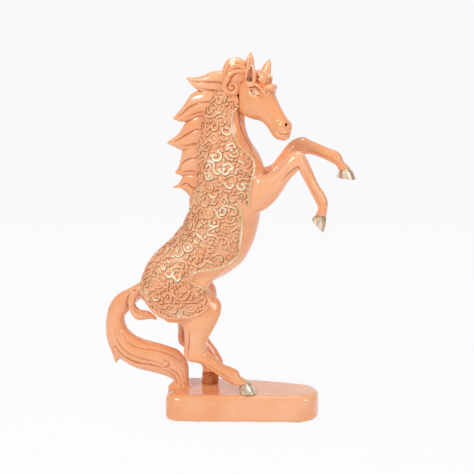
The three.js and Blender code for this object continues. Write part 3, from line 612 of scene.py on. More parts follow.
CHEST_FRONT = [[-3, 300], [-7.5, 294], [-9.5, 286], [-8.5, 275], [-5, 267], [0, 259], [7, 252], [12.5, 246],
               [14, 239], [13, 231], [10.5, 221], [9, 209], [8.5, 199]]
GIRTH = [[-2, 206], [-8, 210], [-18, 214], [-30, 217], [-44, 218]]
CHEST_BACK = [[-60, 234], [-60, 254], [-52, 280], [-46, 293], [-40, 304], [-34, 316], [-24, 321], [-15, 316],
              [-8, 306]]
BARREL_FRONT = [[-4, 202], [0.5, 195], [2, 180], [0, 160], [-2, 150], [-7, 142.5], [-14, 138], [-24, 134.5],
                [-35, 132.5], [-45, 131], [-49, 127], [-50.5, 122], [-48, 118], [-40, 114.5], [-33, 111]]
THIGH_RIM = [[-31, 104], [-32, 97.5], [-35, 91], [-42, 86], [-52, 83], [-62, 81.5], [-72, 82], [-81, 84],
             [-90, 88.5], [-97, 95]]
BARREL_BACK = [[-125, 105], [-125, 125], [-115, 145], [-95, 160], [-80, 175], [-70, 190], [-66, 205],
               [-60, 212.5], [-60, 220], [-30, 219], [-18, 216], [-8, 212], [-2, 208]]
# x where the left thigh turns inward, and its lip and the coat above it end
LEFT_LIP_END, LEFT_COAT_END = -37, -36

HEAD_TURN = math.radians(-29)
TURN = np.array([[math.cos(HEAD_TURN), -math.sin(HEAD_TURN), 0],
                 [math.sin(HEAD_TURN), math.cos(HEAD_TURN), 0], [0, 0, 1]])


def turned(points):
    """Points of the head's own frame, turned with the head about the vertical."""
    return np.asarray(points, float) @ TURN.T


# Trunk with neck and thighs, and the legs that grow out of it

body_block = Block([-112, -40, 66], [34, 40, 332], 0.7)
trunk = body_block.solid(loft(TRUNK, 64, 6, (0.5, 0.4)))
for side in (RIGHT, LEFT):
    trunk = join(trunk, body_block.solid(loft(stations(THIGH, 17.5 * side), 48)), 5.0)

NECK_GROOVE = [[-2.5, 300], [-1.6, 293.5], [-0.4, 280], [3, 270], [9, 258], [14.5, 248]]
for side in (RIGHT, LEFT):
    groove = laid(body_block, trunk, NECK_GROOVE, side)
    trunk = carve(trunk, body_block.tubes([(groove, np.linspace(2.6, 1.0, len(groove)))]), 1.6)
    flank = body_block.blob([-37, side * 32.5, 122], [15, 5.5, 10])
    trunk = carve(trunk, flank, 3.0)
    elbow = laid(body_block, trunk, [[13, 238], [8, 226], [4, 214]], side)
    trunk = carve(trunk, body_block.tubes([(elbow, np.linspace(0.8, 1.8, len(elbow)))]), 2.0)
chest_line = np.array([[24.5, 0, 240], [24.5, 0, 228], [23, 0, 214], [19.5, 0, 200]])
trunk = carve(trunk, body_block.tubes([(spline(chest_line, 5), 2.0)]), 2.5)

# Stations, fillet to the trunk, block, and grooves from share to share of the length between two angles, as
# shares of a half turn, with their radius
LEGS = {
    "foreleg_right": (FORE_RIGHT, 6.0, [-4, -36, 180], [96, 2, 266],
                      [(0.55, 0.88, 0.62, 0.66, 1.0), (0.25, 0.5, 0.6, 0.75, 1.3)]),
    "foreleg_left": (FORE_LEFT, 6.0, [-4, -2, 184], [118, 36, 274],
                     [(0.52, 0.86, 0.62, 0.66, 1.0), (0.25, 0.5, 0.6, 0.75, 1.3)]),
    "hind_leg_right": (HIND_RIGHT, 5.0, [-84, -38, 2], [16, 2, 112],
                       [(0.25, 0.5, 0.72, 0.7, 1.5), (0.62, 0.86, 0.62, 0.62, 1.1)]),
    "hind_leg_left": (HIND_LEFT, 5.0, [-92, -2, 5], [-12, 38, 114],
                      [(0.3, 0.62, 0.72, 0.7, 1.5), (0.7, 0.95, 0.62, 0.62, 1.0)]),
}
HEAD_FILLET, TAIL_FILLET = 3.0, 4.0
whole = trunk
legs_here = []
for rows, fillet, *_ in LEGS.values():
    legs_here.append(body_block.solid(loft(rows, 40, 6, (0.3, 0))))
    whole = join(whole, legs_here[-1], fillet)

skull_rows = stations([
    [[-8, 300], [-3, 329], 11], [[2, 291], [9, 331], 13.5], [[9, 287], [20, 330], 14.5],
    [[16, 285.5], [30, 324], 14.5], [[22, 285], [36, 315.5], 12.5], [[27.5, 283], [41.5, 306.5], 10.5],
    [[32.5, 279], [46, 299.5], 9.2], [[36.5, 274], [51, 292.5], 8.8], [[40, 270], [55.5, 286], 9],
    [[44.5, 267.5], [58, 279.5], 8.8], [[49, 267.5], [56.5, 272.5], 6]])
skull_here = body_block.solid(loft(skull_rows, 48, 6, (0.3, 0.4), TURN))
whole = join(whole, skull_here, HEAD_FILLET)
tail_here = body_block.solid(loft(TAIL, 40, 6, (0.3, 0)))
whole = join(whole, tail_here, TAIL_FILLET)

# Each limb takes over where it lies nearer than the trunk
own = whole
for limb in [*legs_here, skull_here, tail_here]:
    own = np.maximum(own, (trunk - limb) / 2 - 0.25)
sculpted("body_skin", body_block, own, resin, ["body"])


def limb_piece(name, rows, low, high, step, fillet, nodes, bulge=(0.3, 0), grooves=(), more=None, matrix=None):
    """A limb with its fillet to the trunk, and with grooves along both its faces."""
    block = Block(low, high, step)
    near = block.resample(body_block, trunk)
    limb = block.solid(loft(rows, 56, 8, bulge, matrix))
    if more:
        limb = more(block, limb)
    paths = []
    fine = spline(rows, 10)
    for start, stop, turn_from, turn_to, radius in grooves:
        part = stretch(fine, start, stop)
        turns = np.linspace(turn_from * math.pi, turn_to * math.pi, len(part))
        fade = np.sin(np.linspace(0.12, np.pi - 0.12, len(part))) ** 0.6
        for side in (RIGHT, LEFT):
            paths.append((np.array([ring(row, side * a) for row, a in zip(part, turns)]), radius * fade))
    if paths:
        limb = carve(limb, block.tubes(paths), 1.2)
    both = join(near, limb, fillet)
    border = (limb - near) / 2
    dive = np.clip((border + 0.3) / 0.9, 0, 1) * 0.25
    sculpted(name, block, np.maximum(both + dive, border - 0.6), resin, nodes)


for name, (rows, fillet, low, high, grooves) in LEGS.items():
    limb_piece(f"{name}_skin", rows, low, high, 0.5, fillet, [name], grooves=grooves)


# Plinth: a soft slab, a little uneven as cast

def plinth_field(block):
    """The slab's form, its top face at z 0.

    The far side swells, the near one is straight, and the top's edge is rounder than the bottom's.
    """
    rear, front, rear_half, front_half, bow = -79, 80.5, 39.5, 24, np.array([0.75, 43.95])
    rear_reach, front_reach = 22, 23
    corners = [np.array(c, float) for c in ((rear, -rear_half), (front, -front_half), (front, front_half),
                                            (rear, rear_half))]
    points = []
    for i, corner in enumerate(corners):
        reach = rear_reach if corner[0] < 0 else front_reach
        before, after = (bow if corner[1] > 0 and other[1] > 0 else other
                         for other in (corners[i - 1], corners[(i + 1) % 4]))
        start, end = (corner + (other - corner) / np.linalg.norm(other - corner) * reach for other in (before, after))
        if i == 3:
            points += [points[-1] * (1 - t) ** 2 + bow * 2 * t * (1 - t) + start * t * t
                       for t in np.linspace(0, 1, 24)[1:-1]]
        points += [start * (1 - t) ** 2 + corner * 2 * t * (1 - t) + end * t * t for t in np.linspace(0, 1, 12)]
    x, y, z = block.grid()
    height, high, low = 28, 7.0, 3.2
    edge = low + (high + 1.6 * np.clip((-20 - x) / 50, 0, 1) - low) * np.clip((z + 20) / 10, 0, 1)
    draft = 0.9 * np.clip(-z / height, 0, 1) * np.clip((x - 30) / 45, 0, 1)
    flat = outline_distance(points, block.axes[0], block.axes[1])[:, :, None] + edge + draft
    tall = np.abs(z + height / 2) - height / 2 + edge
    field = (np.minimum(np.maximum(flat, tall), 0)
             + np.sqrt(np.maximum(flat, 0) ** 2 + np.maximum(tall, 0) ** 2) - edge)
    uneven = np.sin(x * 0.11 + 1.3) * np.sin(y * 0.16 + 0.4) + 0.6 * np.sin(x * 0.23 - y * 0.19)
    field = field + 0.16 * (1.6 + uneven) * 0.5
    return field.astype(np.float32)


# The tail: long strands, the stray tip and the curl lock

# Lines cut into its sides: radius, then points of the side view
TAIL_LINES = [
    (1.6, [-134, 44], [-129, 36.5], [-122, 31], [-115, 27.6], [-108, 25.6], [-100, 24.6], [-92, 23.6], [-85, 21.5]),
    (0.9, [-134.5, 62], [-132, 53], [-128, 45], [-122, 38.8], [-115, 34.8], [-107, 31.8], [-98, 30], [-89, 28.2],
     [-84, 26.5]),
    (0.95, [-126, 58], [-122, 50.5], [-115, 45.5], [-106, 42.6], [-96, 41.4], [-86, 39.6], [-77, 36.4], [-69, 32.6],
     [-63, 28]),
    (0.6, [-117, 55], [-105, 48], [-90, 45]),
    (1.1, [-83, 31], [-78.5, 28.5], [-77, 25], [-79.5, 22.5], [-83, 22.5]),
    (0.9, [-88, 19.5], [-79, 17.8], [-72.5, 13.5], [-69.5, 7], [-68.5, 0.5]),
    (1.0, [-80, 22], [-72, 18.5], [-66.5, 13], [-64.5, 6], [-63.8, 0.5]),
    (0.6, [-70, 26], [-64, 19], [-61, 11], [-60.3, 2]),
    (1.0, [-112.5, 105], [-118, 101], [-121, 95], [-121.3, 89], [-118.5, 82.5], [-123, 79.5]),
    (0.75, [-115, 99], [-116, 92], [-113.5, 86], [-108, 81.5], [-101, 79.5], [-95, 78]),
    (0.7, [-137, 44], [-135.5, 36], [-134.5, 29])]


def tail_extra(block, limb):
    """The stray tip and the curl, and the lines that are cut along both sides of the lower half."""
    limb = join(limb, block.solid(loft(TAIL_TIP, 32, 8, (0.3, 0.5))), 3.0)
    limb = join(limb, block.solid(loft(TAIL_CURL, 32, 8, (0.3, 0.5))), 2.0)
    cuts = []
    for side in (RIGHT, LEFT):
        for radius, *line in TAIL_LINES:
            path = laid(block, limb, line, side)
            if len(path) > 3:
                cuts.append((path, radius * np.sin(np.linspace(0.3, np.pi - 0.3, len(path))) ** 0.5))
    limb = carve(limb, block.tubes(cuts), 1.4)
    slab = plinth_field(block)
    limb = join(limb, block.blob([-71.5, -2, -2.5], [6.8, 10, 6.5]), 5.0)
    spread = np.maximum(join(limb, slab, 5.0), limb - 3.0)
    return np.maximum(spread, 0.05 - slab)


limb_piece("tail_skin", TAIL, [-152, -20, -8], [-50, 20, 124], 0.55, TAIL_FILLET, ["tail"], more=tail_extra)


# Head: skull with cheeks, brows, lids, nostrils and lips, in the head's own frame before it is turned

def face_line(points):
    return turned(spline(points, 6))


# How far out the eyes sit, as a share, and their axes, tilted with the face
EYE_DEPTH = {RIGHT: 1.0, LEFT: 0.86}
EYE_TURN = TURN @ np.array([[math.cos(0.3), 0, math.sin(0.3)], [0, 1, 0], [-math.sin(0.3), 0, math.cos(0.3)]])


def head_more(block, limb):
    """The face: forehead, cheeks, nostrils, cheek bones, brows, eye sockets with lids, mouth and jaw."""
    limb = join(limb, block.blob(turned([34.6, 0, 319.6]), [6.2, 7.5, 3.6], TURN), 4.0)      # bump of the forehead
    for side in (RIGHT, LEFT):
        for middle, radii, soft in (
                ([15, 8.5 * side, 304], [13, 5.5, 14.5], 4.0),      # cheek
                ([51, 5.6 * side, 282], [4.6, 3.3, 4.4], 3.5)):     # nostril's wing
            limb = join(limb, block.blob(turned(middle), radii, TURN), soft)
        crest = face_line([[28, 11.2 * side, 306.5], [35, 9.2 * side, 300], [43, 8 * side, 293]])
        limb = join(limb, block.tubes([(crest, np.linspace(1.8, 0.8, len(crest)))], 4.0), 3.0)
        brow = face_line([[15, 10.6 * side, 321], [19, 11.8 * side, 323], [24, 12 * side, 323],
                          [29.5, 11 * side, 319.5], [33, 9.2 * side, 314]])
        limb = join(limb, block.tubes([(brow, [0.8, *([1.2] * (len(brow) - 2)), 0.7])], 4.0), 3.2)
        eye = side * EYE_DEPTH[side]
        socket = block.blob(turned([25.6, 14.6 * eye, 315.2]), [7.6, 3.2, 3.7], EYE_TURN)
        limb = carve(limb, socket, 1.4)
        limb = join(limb, block.blob(turned([25.4, 11.4 * eye, 315.0]), [5.6, 2.9, 3.0], EYE_TURN), 0.6)
        for lid, radius in (([[17.6, 12.6 * eye, 317.6], [20.5, 13.9 * eye, 318.4], [24.2, 14.6 * eye, 318.2],
                              [28.4, 13.9 * eye, 315.8], [32.6, 12 * eye, 312]], 0.8),
                            ([[17.6, 12.6 * eye, 317.4], [20.4, 13.6 * eye, 314.6], [24.2, 14.0 * eye, 312.6],
                              [28.6, 13.4 * eye, 311.4], [32.6, 12 * eye, 311.8]], 0.5)):
            path = face_line(lid)
            limb = join(limb, block.tubes([(path, radius)], 2.5), 0.4)
        hole = turned([54.7, 0, 283.5])
        mouth = turned([[42.4, 0, 277.6], [47, 0, 275.2], [52, 0, 274.2], [57.6, 0, 275.6]])[:, [0, 2]]
        at = onto(block, limb, hole[0], hole[2], side)
        if at is not None:
            ends = np.array([[hole[0], at + 1.5 * side, hole[2]], [hole[0] - 1.2, at - 3.6 * side, hole[2] + 0.6]])
            limb = carve(limb, block.tubes([(ends, [1.75, 1.2])], 2.5), 0.5)
        lips = laid(block, limb, mouth, side)
        if len(lips) > 3:
            limb = carve(limb, block.tubes([(lips, np.linspace(0.7, 1.15, len(lips)))], 2.5), 0.7)
            limb = join(limb, block.tubes([(lips + [0.4, 0, 1.7], 0.8)], 2.5), 1.2)
        jaw = face_line([[8, 12 * side, 293], [17, 12.4 * side, 290], [27, 10.4 * side, 288]])
        limb = carve(limb, block.tubes([(jaw + [0, 0, -4.5], 1.6)], 3.0), 2.0)
    return limb


limb_piece("head_skin", skull_rows, [-2, -40, 262], [56, 20, 334], 0.36, HEAD_FILLET, ["head"], (0.3, 0.4),
           more=head_more, matrix=TURN)


def eye_piece(name, side):
    """The eyeball with a raised iris and a pupil cut into it."""
    eye = side * EYE_DEPTH[side]
    middle = turned([25.2, 12.2 * eye, 315.0])
    block = Block(middle - 8, middle + 8, 0.16)
    ball = block.blob(middle, [4.6, 2.5, 2.5], EYE_TURN)
    iris = block.blob(turned([25.8, 14.6 * eye, 314.9]), [1.7, 0.7, 1.7], EYE_TURN)
    pupil = block.blob(turned([25.8, 15.0 * eye, 314.9]), [0.7, 0.8, 0.7], EYE_TURN)
    ball = carve(join(ball, iris, 0.3), pupil, 0.2)
    sculpted(f"eyeball_{name}", block, ball, gold, [f"eye_{name}"], reach=0.6)


for name, side in SIDES.items():
    eye_piece(name, side)


# Ears, forelock, crest tuft and the volutes behind the cheeks

def ear_piece(name, side, height, lean):
    """A pointed shell with a hollow on its outer face, darkened by deeper painted shade."""
    base_x, base_y, base_z = 18.5, 11.5, 324

    def level(up, back, front, half, out):
        """A station at a height above the base, as reaches back and to the front, and how far out its middle is."""
        return [[base_x + back, base_z + up], [base_x + front, base_z + up], half, side * (base_y + out)]

    shares = np.array([0, 0.2, 0.42, 0.68, 0.9, 0.985])
    rows = stations([level(share * height, *form) for share, form in zip(shares, (
        (-5.5, 5, 4.4, 0), (-6.6, 5.4, 4.9, 0.4), (-6.4, 5.6, 4.6, 1), (-4.2, 4.6, 3.3, 2), (-0.6, 2.8, 1.6, 2.7),
        (0.8, 1.8, 0.6, 3)))])
    rows[0, [1, 3]] = base_z - 3, base_z - 2
    rows[:, [0, 2]] += lean * np.array([*shares[:-1], 1])[:, None]
    tip = turned([base_x, side * base_y, base_z + height / 2])
    block = Block(tip - [12, 12, 20], tip + [12, 12, 20], 0.3)
    ear = block.solid(loft(rows, 32, 8, (0.4, 0.6), TURN), 5.0)
    hollow = stations([level(2.4, -2.4, 4, 1.8, 4), level(0.22 * height, -4.6, 4.4, 3.4, 4.8),
                       level(0.5 * height, -4.2, 4.2, 3.2, 5), level(0.86 * height, 0.5, 2.2, 0.7, 3.8)])
    hollow[:, [0, 2]] += lean * np.array([0.1, 0.22, 0.5, 0.86])[:, None]
    ear = carve(ear, block.solid(loft(hollow, 24, 8, (0.5, 0.5), TURN), 5.0), 0.6)
    sculpted(f"ear_shell_{name}", block, ear, ear_resin, [f"ear_{name}"], reach=2.6)


# Deeper painted shade in the hollows of the ears, locks and bun
DEEPER_PAINTED_SHADE = 1.5
ear_resin = resin_paint("ear_resin", DEEPER_PAINTED_SHADE)
ear_piece("right", RIGHT, 19.5, 2.0)
ear_piece("left", LEFT, 23, 3.0)
lock_resin = resin_paint("lock_resin", DEEPER_PAINTED_SHADE)
bun_resin = resin_paint("bun_resin", DEEPER_PAINTED_SHADE, rubbed=True)


def locks(name, low, high, step, forms, grooves, nodes, soft=0.8, blend=1.0, matrix=None, spot=None):
    """Locks of hair that run into each other, with grooves, and with gold rubbed on round a spot if one is given."""
    block = Block(low, high, step)
    field = None
    for rows in forms:
        one = block.solid(loft(rows, 36, 8, (0.3, 0.5), matrix), 5.0)
        field = one if field is None else join(field, one, blend)
    field = carve(field, block.tubes(grooves), soft)
    worn = lambda points: {"rubbed": np.exp(-(((points - spot) / [3.6, 30, 5.5]) ** 2).sum(1))}
    sculpted(name, block, field, lock_resin if spot is None else bun_resin, nodes, reach=1.8,
             more=None if spot is None else worn)


def engraved(rows, marks, matrix=None):
    """Grooves along a lock: (from, to, shift across from -1 to 1, radius), cut on both its faces."""
    fine, out = spline(rows, 10), []
    for start, stop, across, radius in marks:
        part = stretch(fine, start, stop)
        fade = np.sin(np.linspace(0.15, np.pi - 0.1, len(part))) ** 0.5
        for side in (LEFT, RIGHT):
            angle = side * math.acos(across)
            points = np.array([ring(row, angle) for row in part])
            out.append((points if matrix is None else points @ matrix.T, radius * fade))
    return out


mane_marks = [(0.05, 0.97, 0.1, 1.45), (0.0, 0.62, -0.62, 0.9)]
mane_grooves = [g for rows in MANE for g in engraved(rows, mane_marks)]
locks("mane_locks", [-86, -16, 184], [2, 14, 342], 0.5, MANE, mane_grooves, ["mane"], soft=1.4, blend=1.2)

CREST = stations([
    [[-21, 322], [-2, 324], 7], [[-20.5, 337], [-3, 328], 8], [[-14, 347], [-2, 330], 8],
    [[-2, 347.5], [0, 329], 7.5], [[8, 338], [2, 324], 6]], -3)
CREST_LOCK = stations([
    [[-2, 330], [11, 329], 5], [[-1, 337], [12.5, 336], 5], [[1.6, 343.5], [12, 343], 4],
    [[4.6, 349], [10.9, 349], 2.6], [[7.7, 353.8], [8.7, 353.8], 0.8]], -3)
locks("crest_bun", [-30, -16, 312], [18, 10, 358], 0.36, [CREST, CREST_LOCK],
      engraved(CREST, [(0.0, 1.0, -0.45, 1.0), (0.1, 0.95, 0.25, 1.0)])
      + engraved(CREST_LOCK, [(0.1, 0.9, -0.5, 0.7), (0.05, 0.95, 0.3, 0.9)]),
      ["crest_tuft"], soft=1.0, blend=0.7, spot=[-9.5, -8, 345])

FORELOCK = stations([
    [[6, 326], [8, 337.5], 9], [[14, 326.5], [16.5, 335], 8.5], [[21.5, 325], [24.5, 334.6], 7.5],
    [[27, 322.6], [31, 330.6], 5]], -1)
curls = [FORELOCK]
for shift, reach in ((-5.5, 2.6), (0.5, 3.2), (5.5, 2.4)):
    curls.append(stations([
        [[12, 329], [14.5, 336.5], reach, shift], [[19.5, 327.5], [23, 335], reach, shift * 1.1],
        [[26, 324.5], [31.5, 330.5], reach * 0.9, shift * 1.2], [[29, 322.6], [32.4, 325], reach * 0.6, shift]]))
locks("forelock_curls", [-4, -34, 310], [44, 20, 346], 0.36, curls,
      engraved(FORELOCK, [(0.2, 0.9, -0.5, 0.8), (0.1, 0.95, 0.2, 0.9)], TURN)
      + [g for rows in curls[1:] for g in engraved(rows, [(0.1, 0.9, 0.1, 0.6)], TURN)],
      ["forelock"], blend=0.8, matrix=TURN)


def cheek_volute(name, side):
    """A lock that arches over and rolls up behind the cheek round a hollow middle."""
    block = Block([-26, 6 if side > 0 else -24, 303], [14, 24 if side > 0 else -6, 344], 0.3)
    steps = 60
    path, radii = [], []
    for i in range(steps + 1):
        t = i / steps
        angle = 0.7 * math.pi + 2 * math.pi * t
        reach = 8.2 * (1 - t) + 3.0 * t
        path.append([-9.4 + math.cos(angle) * reach, side * (14.8 + 0.6 * t), 319.4 + math.sin(angle) * reach])
        radii.append(2.7 * (1 - t) + 1.2 * t)
    lead = [[7, side * 11.6, 333], [2.2, side * 12.6, 334.4], [-4.3, side * 13.6, 335.2],
            [-9.6, side * 14.2, 333.4], [-13, side * 14.6, 329.6], path[0]]
    arch = spline(lead, 8)
    field = join(block.tubes([(np.array(path), radii)], 3.0),
                 block.tubes([(arch, np.linspace(1.5, radii[0], len(arch)))], 3.0), 0.8)
    field = join(field, block.blob([-9.4, side * 12.6, 319.4], [9.6, 2.6, 9.6]), 0.6)
    field = join(field, block.blob([-2.5, side * 11.4, 329.5], [8.5, 3.2, 6]), 0.8)
    field = carve(field, block.blob([-9.4, side * 18.4, 319.6], [3.4, 3.2, 3.4]), 1.2)
    sculpted(f"cheek_volute_{name}", block, field, lock_resin, [f"cheek_curl_{name}"], reach=1.6)


for name, side in SIDES.items():
    cheek_volute(name, side)


# Scroll relief: strokes drawn on the side view, (half width, balls at 1 the start 2 the end 3 both, x and z of
# each point), then smaller curls and leaves wherever they leave room

def fan(radius, x, z, near, far, angles):
    """Straight strokes that spread out from a point."""
    return [(radius, 0, x + near * math.cos(a), z + near * math.sin(a), x + far * math.cos(a), z + far * math.sin(a))
            for a in angles]


CHEST_SCROLLS = [
    (1.0, 3, -29.5, 316, -30, 319.5, -26.5, 321, -24.3, 318), (0.9, 3, -23, 313, -18.5, 312.2, -15.4, 308.5, -17,
    304.8), (0.9, 2, -30.5, 311.5, -27.5, 308.5, -28.8, 305.5, -31.5, 304.8), (0.9, 3, -24.5, 309, -25.5, 305.5, -23,
    302.8, -20, 304, -20, 307), (0.9, 2, -31, 300.5, -28, 302, -25.3, 300, -26.5, 297.3, -29, 297.5), (0.8, 2, -21.5,
    299.5, -18.5, 300.8, -16.7, 298.3, -18.8, 296.4), (0.9, 2, -34.5, 297.5, -35.5, 294.2, -32.6, 292.6, -30.5, 294.6),
    (1.0, 3, -39, 289.6, -34.5, 288.6, -30, 289, -26.4, 290.6, -24, 293, -20.8, 293.4), (1.0, 2, -23.5, 287.6, -19.5,
    289.6, -15.6, 287.4, -15.8, 284), (1.0, 0, -38.3, 287, -34.6, 285, -32.8, 281.6), (1.0, 3, -37.4, 279.6, -36.4,
    276.6, -33.4, 276.4, -32.2, 278.6), (1.1, 1, -29.8, 279, -27.9, 276.2, -24.6, 276.8, -23.4, 280, -25, 284, -28.4,
    286.4), (1.1, 3, -18.9, 277, -17.4, 273.2, -13, 271.8, -9.6, 273.8, -11, 277.4, -14.4, 278.6), (0.9, 3, -38.3,
    274.4, -37, 271.2, -34, 270.8, -32.2, 272.8), (0.9, 3, -38.6, 268.4, -35.8, 265.2, -32.6, 265.6), (1.1, 0, -29.6,
    262.4, -31.4, 258.4, -34.8, 256, -38.5, 254.8), (1.0, 3, -44.4, 266, -42.6, 262, -38.8, 261.2, -36.6, 263.6), (0.8,
    3, -26, 261.8, -24.6, 259.4, -22.4, 260.6), (0.9, 3, -19.4, 268.4, -16.4, 266.2, -13.2, 268.2), (1.15, 3, -12.4,
    261.4, -9, 263.4, -5.8, 263.2, -4.6, 260.2), (1.0, 3, -13, 257.6, -9.8, 259.4, -8, 256.8), (1.3, 3, -27.6, 250.6,
    -27.7, 247.8, -25, 246, -21.2, 246.8, -18.8, 249.6, -19.4, 253, -22, 255.4), (1.0, 0, -29.6, 252, -31.4, 248.6),
    (1.25, 3, -32.8, 245.4, -29.4, 245, -26.8, 243.2, -26, 240.6, -26.4, 237.4, -25, 234.2, -22, 232.6, -19.6, 234.4,
    -20.4, 237), (1.05, 1, -35, 239.6, -33, 241.6, -30, 240.4, -29.6, 236.6, -32, 234), (1.1, 2, -29.8, 243, -35.6,
    244.4, -39.4, 240.6, -39.8, 235.6, -37.8, 232.4), (1.2, 3, -15.6, 241.8, -12, 243, -8.9, 242.6, -6.6, 240), (1.25,
    3, -15.6, 237.6, -17, 234.4, -14.4, 232.6, -11.2, 234.2, -10, 237, -7, 238.4), (1.0, 1, -3.2, 233.6, -1.4, 237.4,
    2.8, 238.4, 5.8, 235.2, 4.6, 230.8, 1.4, 230.2), (1.1, 1, 0.2, 246, 3.4, 244.8, 5.8, 241.6), (1.0, 2, 4.2, 247.8,
    9.4, 246.2, 12, 242.4, 9.4, 240.4), (1.05, 2, -12.4, 227.6, -10.4, 230.8, -5.8, 231.2, -3.2, 228, -4.6, 224.6, -8,
    225.2), (1.2, 3, -14.2, 223, -12.2, 219.4, -8.2, 218.8, -6.2, 221.6), (1.0, 2, -17, 219.4, -14.2, 215.4, -10,
    214.8), (1.0, 3, 0.4, 226.8, 4.6, 228.2, 9, 227), (1.25, 3, -1.6, 221, -0.4, 217.6, 3, 216.6, 6, 219, 4, 222),
    (0.9, 1, 7.8, 222.4, 11.4, 221.4, 11.2, 217.8), (1.0, 1, -1, 212.4, 2.6, 213.8, 5.6, 211.2, 4.8, 207.6, 1.4,
    207.8), (0.9, 3, 8, 212.4, 9.6, 208.6, 7.6, 205.2), (1.1, 3, -8.6, 251.6, -4.6, 250.2, -1.2, 252.6, -2.4, 256),
    (1.0, 3, -14, 251.4, -11.6, 248, -7.4, 247.2), (0.9, 1, 7.6, 235.8, 11, 234, 10.6, 230), (1.0, 3, -24.2, 224.4,
    -22, 221.2, -18, 222, -16.6, 225.6, -19.4, 228.4), (1.0, 3, -41.6, 249.4, -38.6, 250.8, -35.4, 248.6)]
